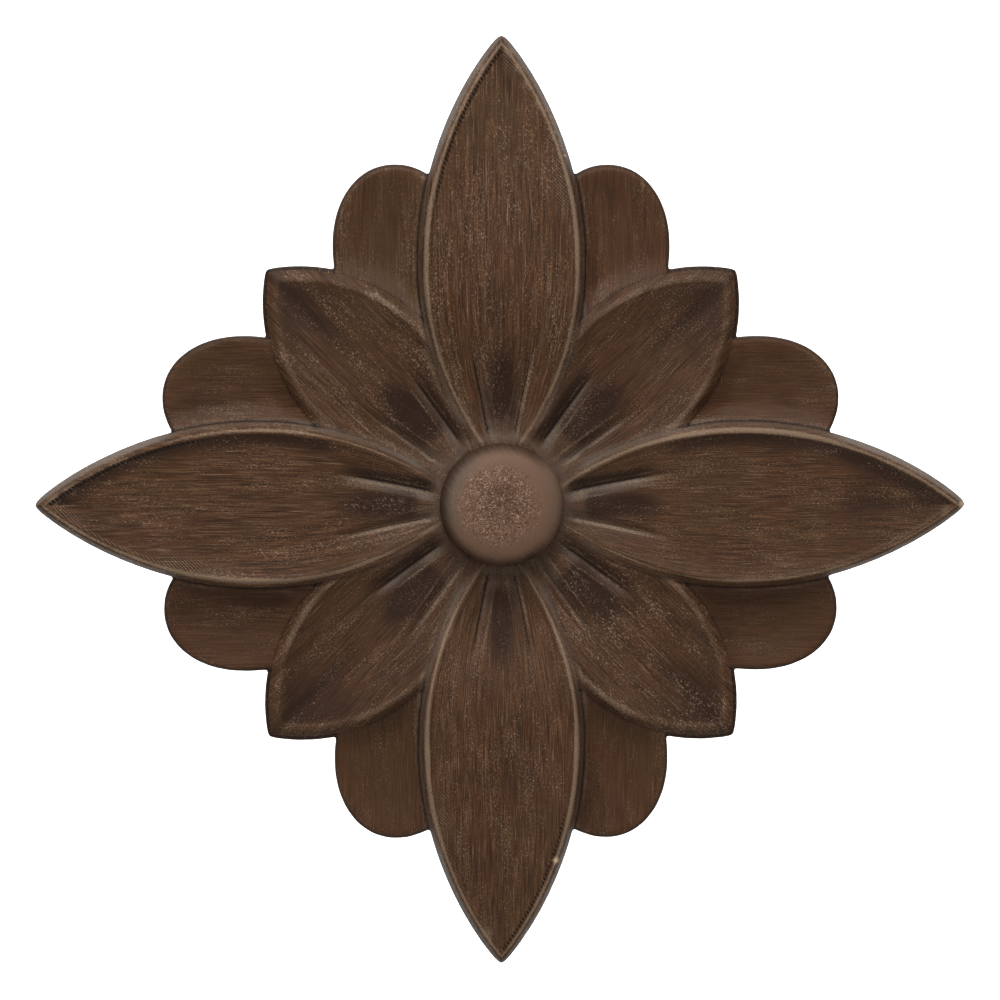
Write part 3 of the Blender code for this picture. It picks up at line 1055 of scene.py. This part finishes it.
    def gouges(self, at: Places) -> dict[str, Array]:
        """Light, dark and grey bands of the gouges beside each petal's axis: a painted highlight on the
        flank that faces the light, painted shade on the flank that faces away.

        Args:
            at: The places.

        Returns:
            Shares to add to rubbed, soil, stained, haze and flecked, which carry painted highlights and
            painted shade.
        """
        total = {name: np.zeros_like(at.x) for name in ("rubbed_and_highlight", "soil_and_shade", "stained", "haze", "flecked")}
        for petal, layer, along, across, lit in (
            (self.rosette.large, Layer.LARGE, at.along, at.across, at.lit),
            (self.rosette.diagonal, Layer.DIAGONAL, at.u, at.v, at.lit_diagonal),
        ):
            side = across - petal.gouge.line(along)
            deep = at.top(layer) * petal.gouge.strength(along)
            bright, shade = np.clip(0.35 + lit, 0.0, 1.0), np.clip(-lit, 0.0, 1.0)
            inner = plateau(side, -0.5 * petal.gouge.inner_width, 0.5 * petal.gouge.inner_width)
            total["rubbed_and_highlight"] += deep * 0.4 * bell(side, -petal.gouge.inner_width, 0.4)
            total["rubbed_and_highlight"] += deep * 0.4 * bell(side, 0.95, 0.3)
            # The band lies on the flank that faces the light: a painted highlight, with flecks.
            band = bright * plateau(side, 0.3, 0.8) + shade * plateau(side, -1.1, 0.6)
            total["rubbed_and_highlight"] += deep * (0.5 if layer == Layer.LARGE else 0.25) * band
            total["flecked"] += deep * 0.9 * band
            # Dark lines at the bottom and beside the lit band, less at the bottom where the outer flank
            # faces the light: soil and painted shade.
            total["soil_and_shade"] += deep * (1.0 - 0.55 * bright) * 0.7 * plateau(side, -0.1, 0.45)
            total["soil_and_shade"] += deep * bright * 0.45 * (bell(side, -1.3, 0.5) + bell(side, 2.0, 0.4))
            # Painted shade on the outer flank where it faces away from the light.
            total["stained"] += deep * shade * 0.9 * plateau(side, 1.8, 1.8)
            # Grey haze on the flank that faces the light: wax and a painted sheen.
            total["haze"] += deep * (inner * (0.2 + 0.4 * shade) + 0.5 * band)
        return total

    def tooling(self, at: Places) -> Array:
        """Slopes near the tips, on which the cutter's furrows show.

        Args:
            at: The places.

        Returns:
            The share at each place, not yet held to 0 to 1.
        """
        across = np.abs(at.slope_x + at.slope_y) / ROOT_TWO
        inside = ease(at.along, 84.0, 104.0) * ease(-at.off_large, 0.6, 1.4) * ease(across, 0.03, 0.16)
        # Stronger on slopes that face the light: painted light on the furrows.
        inside = inside * (1.0 - 0.85 * self.crossed(at)) * (0.75 + 0.25 * at.lit)
        tips = ease(at.u, 62.0, 84.0) * ease(-at.off_diagonal, 0.8, 2.0) * ease(across, 0.08, 0.3)
        return at.top(Layer.LARGE) * inside + 0.5 * at.top(Layer.DIAGONAL) * tips


def read_all(items: Any, name: str, width: int = 1, kind: type = np.float64) -> Array:
    """Reads one property of all vertices, faces or corners of a mesh.

    Args:
        items: The mesh's vertices, polygons or loops.
        name: The property.
        width: How many numbers it has.
        kind: Their type.

    Returns:
        A row for each item, or plain numbers where the width is 1.
    """
    values = np.empty(len(items) * width, dtype=kind)
    items.foreach_get(name, values)
    return values if width == 1 else values.reshape(-1, width)


@dataclass
class Medallion:
    """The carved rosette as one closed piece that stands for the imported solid."""

    name: str = "carved_medallion"
    rosette: Rosette = ROSETTE
    unevenness: Unevenness = Unevenness()
    smooth_angle: float = 42.0
    merge_within: float = 0.01
    leaf_spacing: float = 7.3

    def build(self, finish: StainedWood) -> bpy.types.Object:
        """Makes the piece and dresses it.

        Args:
            finish: The stain and polish.

        Returns:
            The finished object.
        """
        piece = self.flat_eighth()
        self.mirror_round(piece)
        self.carve(piece)
        self.close_back(piece)
        self.mark_wear_and_painted_light(piece)
        piece.data.materials.append(finish.material())
        return piece

    def flat_eighth(self) -> bpy.types.Object:
        """Lays one eighth of the plan flat on y = 0.

        Returns:
            The piece so far.
        """
        points, faces = PlanSheet(self.rosette).triangles()
        corners = [(x * MM, 0.0, y * MM) for x, y in points]
        mesh = bpy.data.meshes.new(self.name)
        mesh.from_pydata(corners, [], faces)
        piece = bpy.data.objects.new(self.name, mesh)
        bpy.context.scene.collection.objects.link(piece)
        bpy.ops.object.select_all(action="DESELECT")
        piece.select_set(True)
        bpy.context.view_layer.objects.active = piece
        return piece

    def mirror_round(self, piece: bpy.types.Object) -> None:
        """Mirrors the eighth over the diagonal, then left and right and up and down.

        Args:
            piece: The medallion.
        """
        guide = bpy.data.objects.new("diagonal_guide", None)
        guide.rotation_euler.y = math.pi / 4
        bpy.context.scene.collection.objects.link(guide)
        bpy.context.view_layer.update()
        for over, axes in ((guide, (True, False, False)), (None, (True, False, True))):
            mirror = piece.modifiers.new("mirror", "MIRROR")
            mirror.mirror_object = over
            mirror.use_axis = axes
            mirror.merge_threshold = self.merge_within * MM
            bpy.ops.object.modifier_apply(modifier=mirror.name)
        bpy.data.objects.remove(guide)

    def carve(self, piece: bpy.types.Object) -> None:
        """Raises the flat plan to the relief, with its unevenness and chips.

        Args:
            piece: The medallion.
        """
        place = read_all(piece.data.vertices, "co", 3)
        x, y = place[:, 0] / MM, place[:, 2] / MM
        height = self.rosette.height(x, y)
        gap = self.rosette.edge_gap(x, y)
        turn = np.clip(1.0 - gap / self.rosette.arris, 0.0, 1.0)
        height -= self.rosette.arris * (1.0 - np.sqrt(1.0 - turn**2))
        height -= self.unevenness.lowering(x, y) * ease(np.hypot(x, y), 4.0, 24.0)
        for chip in CHIPS:
            height -= chip.depth * ease(chip.cover(x, y), 0.0, 0.8)
        place[:, 1] = -height * MM
        piece.data.vertices.foreach_set("co", place.ravel())
        piece.data.update()

    def close_back(self, piece: bpy.types.Object) -> None:
        """Draws the edge straight back to the wall plane and closes it there.

        Args:
            piece: The medallion.
        """
        bpy.ops.object.mode_set(mode="EDIT")
        bpy.ops.mesh.select_mode(type="EDGE")
        bpy.ops.mesh.select_all(action="DESELECT")
        bpy.ops.mesh.select_non_manifold()
        bpy.ops.mesh.extrude_region_move(TRANSFORM_OT_translate={"value": (0.0, 3.0 * MM, 0.0)})
        bpy.ops.transform.resize(value=(1.0, 0.0, 1.0), center_override=(0.0, 0.0, 0.0))
        bpy.ops.mesh.edge_face_add()
        bpy.ops.mesh.select_all(action="SELECT")
        bpy.ops.mesh.normals_make_consistent(inside=False)
        bpy.ops.object.mode_set(mode="OBJECT")
        bpy.ops.object.shade_smooth_by_angle(angle=math.radians(self.smooth_angle))

    def mark_wear_and_painted_light(self, piece: bpy.types.Object) -> None:
        """Writes the wear masks, with the painted light and shade among them, and the brushing direction
        onto the mesh, for the finish to read.

        Args:
            piece: The medallion.
        """
        mesh = piece.data
        place = read_all(mesh.vertices, "co", 3) / MM
        on_back = place[:, 1] > -0.01
        for name, value in WearAndPaintedLight(self.rosette).masks(place[:, 0], place[:, 2]).items():
            mask = mesh.attributes.new(name, "FLOAT", "POINT")
            mask.data.foreach_set("value", np.where(on_back, 0.0, value).astype(np.float32))
        corner = read_all(mesh.loops, "vertex_index", kind=np.int32)
        total = read_all(mesh.polygons, "loop_total", kind=np.int32)
        centre = read_all(mesh.polygons, "center", 3) / MM
        plain = read_all(mesh.polygons, "normal", 3)[:, 1] > -0.05
        face_x, face_y = np.repeat(centre[:, 0], total), np.repeat(centre[:, 2], total)
        brushed = self.brushing(place[corner], face_x, face_y, np.repeat(plain, total))
        brush = mesh.attributes.new("brush", "FLOAT_VECTOR", "CORNER")
        brush.data.foreach_set("vector", brushed.astype(np.float32).ravel())

    def brushing(self, place: Array, face_x: Array, face_y: Array, plain: Array) -> Array:
        """Coordinates that follow the brush on each leaf.

        Args:
            place: Corner places in millimetres.
            face_x: Plan place of each corner's face, to the right.
            face_y: Plan place of each corner's face, upwards.
            plain: True where the face belongs to the sides or the back.

        Returns:
            Rows of (along the brush, across it, the leaf's own level), in millimetres.
        """
        x, y = place[:, 0], place[:, 2]
        layer = self.rosette.layer(face_x, face_y)
        upright = np.abs(face_y) > np.abs(face_x)
        along = np.where(upright, np.abs(y), np.abs(x))
        across = np.where(upright, x, y)
        quarter = np.where(upright, 2, 0) + np.where(upright, face_y < 0, face_x < 0)
        leaf = quarter.astype(float)
        large = self.rosette.large
        narrowing = np.clip(large.crest_width(along) / large.half_width, 0.25, 1.0)
        narrowing = np.where(along > large.widest_at, 1.0, narrowing)
        spread = across / narrowing**0.8
        is_large = layer == Layer.LARGE
        across = np.where(is_large, spread, across)
        leaf = np.where(layer == Layer.LOBE, leaf + 10.0, leaf)

        side = np.where(face_x < 0, -1.0, 1.0)
        lift = np.where(face_y < 0, -1.0, 1.0)
        u, v = (side * x + lift * y) / ROOT_TWO, (side * x - lift * y) / ROOT_TWO
        diagonal = self.rosette.diagonal
        narrowing = np.clip(diagonal.crest_width(u) / diagonal.half_width, 0.25, 1.0)
        narrowing = np.where(u > diagonal.widest_at, 1.0, narrowing)
        is_diagonal = layer == Layer.DIAGONAL
        along = np.where(is_diagonal, u, along)
        across = np.where(is_diagonal, v / narrowing**0.8, across)
        leaf = np.where(is_diagonal, 20.0 + (face_x < 0) + 2.0 * (face_y < 0), leaf)

        is_boss = layer == Layer.BOSS
        along = np.where(is_boss, 1.4 * (x - y) / ROOT_TWO, along)
        across = np.where(is_boss, (x + y) / ROOT_TWO, across)
        leaf = np.where(is_boss, 30.0, leaf)
        along = np.where(plain, y, along)
        across = np.where(plain, x + place[:, 1], across)
        leaf = np.where(plain, 40.0, leaf)
        return np.column_stack([along, across, self.leaf_spacing * leaf])


def linear(code: str) -> tuple[float, float, float, float]:
    """Turns an sRGB hex colour into the linear colour that the shader takes.

    Args:
        code: Colour such as "#4c3829".

    Returns:
        Linear red, green, blue and an alpha of 1.
    """
    parts = [int(code[i : i + 2], 16) / 255.0 for i in (1, 3, 5)]
    red, green, blue = (p / 12.92 if p <= 0.04045 else ((p + 0.055) / 1.055) ** 2.4 for p in parts)
    return red, green, blue, 1.0


def add_node(tree: bpy.types.NodeTree, kind: str, inputs: dict[Any, Any], **settings: Any) -> Any:
    """Adds a node with its settings, values and links.

    Args:
        tree: The material's node tree.
        kind: Blender's name of the node type.
        inputs: By socket name or number, a value or the output socket to link.
        **settings: Properties of the node.

    Returns:
        The new node.
    """
    node = tree.nodes.new(kind)
    for name, value in settings.items():
        setattr(node, name, value)
    for socket, value in inputs.items():
        if isinstance(value, bpy.types.NodeSocket):
            tree.links.new(value, node.inputs[socket])
        else:
            node.inputs[socket].default_value = value
    return node


@dataclass(frozen=True)
class Streak:
    """Noise drawn out along the brush, about one length long and one width wide in millimetres.

    The shift moves the noise, so that two kinds of streak don't fall on the same places.
    """

    name: str
    length: float
    width: float
    shift: float


@dataclass(frozen=True)
class Grain:
    """Noise that is alike in all directions, of a size in millimetres.

    Detail adds finer grains, and distortion draws the noise into strokes.
    """

    name: str
    size: float
    detail: float
    distortion: float = 0.0


@dataclass(frozen=True)
class StainedWood:
    """Carved basswood with a dark walnut stain, brushed lengthwise, rubbed back and waxed.

    The brush leaves light and dark streaks along each leaf. The stain is rubbed to tan on rims and
    boss, with painted highlights near the tips and on the gouges' lit flanks. It stays nearly black in
    the creases, partly as painted shade, and has a grey haze of wax on the walls and at the boss,
    which is partly a painted reflection.
    One pixel of the picture is 0.3 mm wide, so bristle marks, flecks and grit, which are finer than
    that, are drawn as coarse as they need to show, and so are the notches at the rims. The furrows
    keep the cutter's own pitch. Of the streaks, the wide and fine ones are the brush's, the
    scratches are long light lines, the flecks short light marks, and the patches are where flecks
    and rubbed wood gather.
    """

    name: str = "stained_wood"
    mask_names: tuple[str, ...] = (
        "rubbed_and_highlight", "soil_and_shade", "notch_shade", "stained", "haze", "polish", "flecked", "tooling", "bare",
    )
    # Deep stain, also laid as painted shade inside the rims and on shaded gouge flanks.
    deep_stain_and_shade: str = "#26170e"
    stain: str = "#412918"
    light_stain: str = "#674933"
    olive: str = "#3a2c17"
    tan: str = "#6b5847"
    polished: str = "#5f4839"
    fleck: str = "#957b64"
    boss_fleck: str = "#9a806c"
    # Nearly black dirt, also laid as painted shade in creases and notches.
    dirt_and_shade: str = "#150e0a"
    # Grey of wax haze, also laid as a painted reflection on walls that face up and on the boss.
    wax_and_sheen_grey: str = "#54483f"
    bare_wood: str = "#c4ad90"
    roughness: float = 0.55
    ior: float = 1.45
    specular: float = 0.14
    streaks: tuple[Streak, ...] = (
        Streak("wide", 16.0, 0.8, 0.0),
        Streak("fine", 9.6, 0.38, 31.0),
        Streak("scratches", 15.0, 0.34, 11.0),
        Streak("flecks", 0.7, 0.38, 57.0),
        Streak("patches", 24.0, 6.0, 83.0),
    )
    grains: tuple[Grain, ...] = (
        Grain("blotch", 24.0, 3.0),
        Grain("speckle", 0.45, 1.5),
        Grain("scrub", 0.8, 3.0, 2.2),
    )
    tool_pitch: float = 0.77
    tooth_pitch: float = 1.3
    relief_depth: float = 0.12

    def material(self) -> bpy.types.Material:
        """Makes the material from nodes.

        Returns:
            The material, which reads the masks and the brushing from the mesh.
        """
        material = bpy.data.materials.new(self.name)
        material.use_nodes = True
        tree = material.node_tree
        shader = tree.nodes["Principled BSDF"]
        shader.inputs["IOR"].default_value = self.ior
        shader.inputs["Specular IOR Level"].default_value = self.specular
        masks = self.masks(tree)
        patterns = self.patterns(tree)
        colour: Any = linear(self.deep_stain_and_shade)
        for code, share in self.coats(tree, masks, patterns):
            layers = {0: share, 6: colour, 7: linear(code)}
            colour = add_node(tree, "ShaderNodeMix", layers, data_type="RGBA").outputs[2]
        tree.links.new(colour, shader.inputs["Base Color"])
        spread = {
            "Value": patterns["fine"], "From Min": 0.3, "From Max": 0.7,
            "To Min": self.roughness - 0.1, "To Max": self.roughness + 0.12,
        }
        rough = add_node(tree, "ShaderNodeMapRange", spread).outputs["Result"]
        tree.links.new(rough, shader.inputs["Roughness"])
        tree.links.new(self.fine_relief(tree, masks, patterns), shader.inputs["Normal"])
        return material

    def masks(self, tree: bpy.types.NodeTree) -> dict[str, Any]:
        """Reads the signs of wear from the mesh.

        Args:
            tree: The material's node tree.

        Returns:
            Their shares by name, with those of haze and flecks on the boss alone.
        """
        masks = {
            name: add_node(tree, "ShaderNodeAttribute", {}, attribute_name=name).outputs["Fac"]
            for name in self.mask_names
        }
        for name in ("haze", "flecked"):
            both = {0: masks[name], 1: masks["polish"]}
            on_boss = add_node(tree, "ShaderNodeMath", both, operation="MULTIPLY", use_clamp=True)
            masks[f"boss_{name}"] = on_boss.outputs[0]
        return masks

    def patterns(self, tree: bpy.types.NodeTree) -> dict[str, Any]:
        """Makes the patterns of brush, wood and cutter.

        Args:
            tree: The material's node tree.

        Returns:
            The patterns by name, noise round 0.5 or furrows from 0 to 1.
        """
        brush = add_node(tree, "ShaderNodeAttribute", {}, attribute_name="brush").outputs["Vector"]
        place = add_node(tree, "ShaderNodeTexCoord", {}).outputs["Object"]
        patterns = {}
        for streak in self.streaks:
            stretch = {
                "Vector": brush,
                "Scale": (1.0 / streak.length, 1.0 / streak.width, 1.0),
                "Location": (streak.shift, streak.shift, streak.shift),
            }
            drawn = add_node(tree, "ShaderNodeMapping", stretch).outputs["Vector"]
            noise = {"Vector": drawn, "Scale": 1.0, "Detail": 4.0, "Roughness": 0.62}
            patterns[streak.name] = add_node(tree, "ShaderNodeTexNoise", noise).outputs["Fac"]
        for grain in self.grains:
            noise = {"Vector": place, "Scale": 1.0 / (grain.size * MM)}
            noise |= {"Detail": grain.detail, "Distortion": grain.distortion}
            patterns[grain.name] = add_node(tree, "ShaderNodeTexNoise", noise).outputs["Fac"]
        patterns["marks"] = self.tool_marks(tree, place, self.tool_pitch)
        patterns["notches"] = self.tool_marks(tree, place, self.tooth_pitch)
        return patterns

    def coats(
        self, tree: bpy.types.NodeTree, masks: dict[str, Any], patterns: dict[str, Any]
    ) -> list[tuple[str, Any]]:
        """Lists the coats of the finish over the deep stain.

        Args:
            tree: The material's node tree.
            masks: The signs of wear.
            patterns: The patterns of brush, wood and cutter.

        Returns:
            From the lowest coat up, its colour and the share of the surface that it covers.
        """
        fine, flecks, patches = patterns["fine"], patterns["flecks"], patterns["patches"]
        blotch, speckle, scrub = patterns["blotch"], patterns["speckle"], patterns["scrub"]
        flecked, on_boss, tooling = masks["flecked"], masks["boss_flecked"], masks["tooling"]
        # The lobes have few flecks, and their brushing is calmer too.
        strokes = {0: flecked, 1: 1.1, 2: 0.25}
        strokes = add_node(tree, "ShaderNodeMath", strokes, operation="MULTIPLY_ADD").outputs[0]
        wide = self.swung(tree, patterns["wide"], strokes, 0.5)
        thin = self.swung(tree, fine, strokes, 0.5)
        uneven = {0: patches, 1: 0.9, 2: flecks}
        uneven = add_node(tree, "ShaderNodeMath", uneven, operation="MULTIPLY_ADD").outputs[0]
        haze = self.swung(tree, fine, 0.5, masks["haze"])
        stained = self.swung(tree, fine, 0.6, masks["stained"])
        rubbed_and_highlight = self.swung(tree, uneven, 1.4, masks["rubbed_and_highlight"])
        soil_and_shade = self.swung(tree, speckle, 1.3, masks["soil_and_shade"])
        notch_shade = self.share(tree, masks["notch_shade"], (patterns["notches"], 0.0, 0.9, 1.6))
        return [
            (self.stain, self.share(tree, None, (wide, 0.27, 0.62, 1.0))),
            (self.light_stain, self.share(tree, None, (thin, 0.45, 0.72, 0.62))),
            (self.olive, self.share(tree, None, (blotch, 0.46, 0.7, 0.35))),
            (self.deep_stain_and_shade, self.share(tree, None, (blotch, 0.46, 0.3, 0.35))),
            (self.fleck, self.share(tree, flecked, (patterns["scratches"], 0.6, 0.7, 0.6))),
            # Grey wax haze on walls, gouges and round the boss's foot, with a painted reflection on walls
            # that face up.
            (self.wax_and_sheen_grey, self.share(tree, None, (haze, 0.1, 1.0, 1.0))),
            (self.polished, masks["polish"]),
            # Wax haze and a painted reflection on the boss's shoulders.
            (self.wax_and_sheen_grey, masks["boss_haze"]),
            # Darker stain, with painted shade inside rims and on gouge flanks that face away from the light.
            (self.deep_stain_and_shade, self.share(tree, None, (stained, 0.1, 1.0, 1.0))),
            # Rubbed tan, with painted highlights near the tips and on the gouges' lit flanks.
            (self.tan, self.share(tree, None, (rubbed_and_highlight, 0.7, 1.55, 1.0))),
            (self.fleck, self.share(tree, flecked, (patches, 0.38, 0.66, 1.2), (flecks, 0.56, 0.68, 0.75))),
            (self.deep_stain_and_shade, self.share(tree, flecked, (speckle, 0.47, 0.32, 0.6))),
            (self.stain, self.share(tree, on_boss, (scrub, 0.52, 0.36, 0.9))),
            (self.boss_fleck, self.share(tree, on_boss, (scrub, 0.54, 0.66, 0.8))),
            # Dirt and painted shade in the creases.
            (self.dirt_and_shade, self.share(tree, None, (soil_and_shade, 0.15, 0.95, 1.0))),
            # Darker furrow bottoms and lighter ridges of the cutter's marks, a little stronger on slopes
            # that face the light.
            (self.deep_stain_and_shade, self.share(tree, tooling, (patterns["marks"], 0.55, 0.1, 0.65))),
            (self.tan, self.share(tree, tooling, (patterns["marks"], 0.75, 1.0, 0.5))),
            # Painted shade in the notches at the rims.
            (self.dirt_and_shade, self.share(tree, None, (notch_shade, 0.3, 0.75, 1.0), (speckle, 0.3, 0.5, 1.0))),
            (self.bare_wood, masks["bare"]),
        ]

    def swung(self, tree: bpy.types.NodeTree, pattern: Any, swing: Any, centre: Any) -> Any:
        """Lets a pattern swing round a new centre.

        Args:
            tree: The material's node tree.
            pattern: Noise round 0.5.
            swing: How far the pattern shifts the centre.
            centre: What it swings round, such as a mask whose border it breaks up.

        Returns:
            The centre, shifted by the pattern.
        """
        off = add_node(tree, "ShaderNodeMath", {0: pattern, 1: 0.5}, operation="SUBTRACT").outputs[0]
        terms = {0: off, 1: swing, 2: centre}
        return add_node(tree, "ShaderNodeMath", terms, operation="MULTIPLY_ADD").outputs[0]

    def share(self, tree: bpy.types.NodeTree, mask: Any, *steps: tuple[Any, float, float, float]) -> Any:
        """Works out the share of the surface that a coat covers.

        Args:
            tree: The material's node tree.
            mask: Where the coat may lie, or None for all over.
            *steps: Patterns that thin it, each as (pattern, its value where the coat is gone, its value
                where the coat is full, the share there).

        Returns:
            The mask times a smooth step of each pattern.
        """
        for pattern, gone, full, top in steps:
            limits = {"Value": pattern, "From Min": gone, "From Max": full, "To Max": top}
            step = add_node(tree, "ShaderNodeMapRange", limits, interpolation_type="SMOOTHSTEP")
            step = step.outputs["Result"]
            if mask is None:
                mask = step
                continue
            both = {0: mask, 1: step}
            mask = add_node(tree, "ShaderNodeMath", both, operation="MULTIPLY", use_clamp=True).outputs[0]
        return mask

    def tool_marks(self, tree: bpy.types.NodeTree, place: Any, pitch: float) -> Any:
        """Makes rounded furrows of the cutter, which run from upper left to lower right.

        Args:
            tree: The material's node tree.
            place: Object coordinates.
            pitch: Distance between two furrows in millimetres.

        Returns:
            The furrows, from 0 in their bottoms to 1 on the ridges.
        """
        diagonal = (1.0 / ROOT_TWO, 0.0, 1.0 / ROOT_TWO)
        across = add_node(tree, "ShaderNodeVectorMath", {0: place, 1: diagonal}, operation="DOT_PRODUCT")
        turns = {0: across.outputs["Value"], 1: math.pi / (pitch * MM)}
        turns = add_node(tree, "ShaderNodeMath", turns, operation="MULTIPLY")
        wave = add_node(tree, "ShaderNodeMath", {0: turns.outputs[0]}, operation="SINE")
        return add_node(tree, "ShaderNodeMath", {0: wave.outputs[0]}, operation="ABSOLUTE").outputs[0]

    def fine_relief(
        self, tree: bpy.types.NodeTree, masks: dict[str, Any], patterns: dict[str, Any]
    ) -> Any:
        """Raises brush ridges, grit and tool marks as a bumped normal.

        Args:
            tree: The material's node tree.
            masks: The signs of wear, of which tooling tells where the furrows show.
            patterns: The patterns of brush, wood and cutter.

        Returns:
            The normal for the shader.
        """
        furrows = {0: patterns["marks"], 1: masks["tooling"]}
        furrows = add_node(tree, "ShaderNodeMath", furrows, operation="MULTIPLY").outputs[0]
        height = patterns["flecks"]
        for pattern, weight in ((patterns["fine"], 0.9), (patterns["speckle"], 0.8), (furrows, 1.8)):
            terms = {0: pattern, 1: weight, 2: height}
            height = add_node(tree, "ShaderNodeMath", terms, operation="MULTIPLY_ADD").outputs[0]
        bump = {"Height": height, "Distance": self.relief_depth * MM, "Strength": 1.0}
        return add_node(tree, "ShaderNodeBump", bump).outputs["Normal"]


@dataclass(frozen=True)
class Studio:
    """Pale floor and white backdrop with one large soft light from above, in metres."""

    floor_level: float = -1.0
    floor_size: float = 40.0
    backdrop_at: float = 2.0
    backdrop_size: float = 8.0
    paper_roughness: float = 0.9
    key_place: tuple[float, float, float] = (-0.15, -1.1, 1.5)
    key_size: float = 1.3
    key_power: float = 60.0
    fill_strength: float = 0.35

    def build(self) -> None:
        """Sets up floor, backdrop, lights and world."""
        floor = self.plane("studio_floor", self.floor_size, (0.0, 0.0, self.floor_level), 0.0)
        floor.data.materials.append(self.paper("pale_floor", "#dcdad6"))
        behind = (0.0, self.backdrop_at, 0.0)
        backdrop = self.plane("studio_backdrop", self.backdrop_size, behind, math.pi / 2)
        backdrop.data.materials.append(self.glowing_paper())
        self.light("key_light", self.key_place, self.key_size, self.key_power)
        world = bpy.data.worlds.new("soft_room")
        world.use_nodes = True
        sky = world.node_tree.nodes["Background"]
        sky.inputs["Color"].default_value = (1.0, 1.0, 1.0, 1.0)
        sky.inputs["Strength"].default_value = self.fill_strength
        bpy.context.scene.world = world
        bpy.context.scene.view_settings.view_transform = "Standard"

    def plane(
        self, name: str, size: float, place: tuple[float, float, float], tilt: float
    ) -> bpy.types.Object:
        """Lays a plain square sheet.

        Args:
            name: Its name.
            size: Length of its side in metres.
            place: Its middle in metres.
            tilt: Turn about X in radians.

        Returns:
            The sheet.
        """
        bpy.ops.object.select_all(action="DESELECT")
        bpy.ops.mesh.primitive_plane_add(size=size, location=place, rotation=(tilt, 0.0, 0.0))
        sheet = bpy.context.active_object
        sheet.name = name
        return sheet

    def paper(self, name: str, code: str) -> bpy.types.Material:
        """Matt paper of one colour.

        Args:
            name: Its name.
            code: Its sRGB hex colour.

        Returns:
            The material.
        """
        material = bpy.data.materials.new(name)
        material.use_nodes = True
        shader = material.node_tree.nodes["Principled BSDF"]
        shader.inputs["Base Color"].default_value = linear(code)
        shader.inputs["Roughness"].default_value = self.paper_roughness
        return material

    def glowing_paper(self) -> bpy.types.Material:
        """White paper lit evenly from behind, which stays pure white in the picture.

        Returns:
            The material.
        """
        material = self.paper("lit_backdrop", "#ffffff")
        shader = material.node_tree.nodes["Principled BSDF"]
        shader.inputs["Emission Color"].default_value = (1.0, 1.0, 1.0, 1.0)
        shader.inputs["Emission Strength"].default_value = 1.0
        return material

    def light(self, name: str, place: tuple[float, float, float], size: float, power: float) -> None:
        """A square soft light that points at the medallion.

        Args:
            name: Its name.
            place: Its middle in metres.
            size: Length of its side in metres.
            power: Its power in watts.
        """
        data = bpy.data.lights.new(name, "AREA")
        data.shape = "SQUARE"
        data.size = size
        data.energy = power
        lamp = bpy.data.objects.new(name, data)
        lamp.location = place
        lamp.rotation_euler = (-Vector(place)).to_track_quat("-Z", "Y").to_euler()
        bpy.context.scene.collection.objects.link(lamp)


@dataclass(frozen=True)
class PhotoCamera:
    """Camera of the photograph: nearly square on, a little from above and from the left."""

    place: tuple[float, float, float] = (-0.0197, -0.907, 0.0642)
    target: tuple[float, float, float] = (-0.000414, -0.007, 0.001255)
    lens: float = 100.32

    def build(self) -> None:
        """Makes the camera and hands it to the scene."""
        data = bpy.data.cameras.new("photo_camera")
        data.lens = self.lens
        camera = bpy.data.objects.new("photo_camera", data)
        camera.location = self.place
        towards = Vector(self.target) - Vector(self.place)
        camera.rotation_euler = towards.to_track_quat("-Z", "Y").to_euler()
        bpy.context.scene.collection.objects.link(camera)
        bpy.context.scene.camera = camera


def main() -> None:
    """Builds the medallion, the studio and the camera."""
    logging.basicConfig(level=logging.INFO)
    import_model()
    PhotoCamera().build()
    Studio().build()
    medallion = Medallion().build(StainedWood())
    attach(medallion, "root")
    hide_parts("medallion")
    log.info("%s: %d faces", medallion.name, len(medallion.data.polygons))


if __name__ == "__main__":
    main()
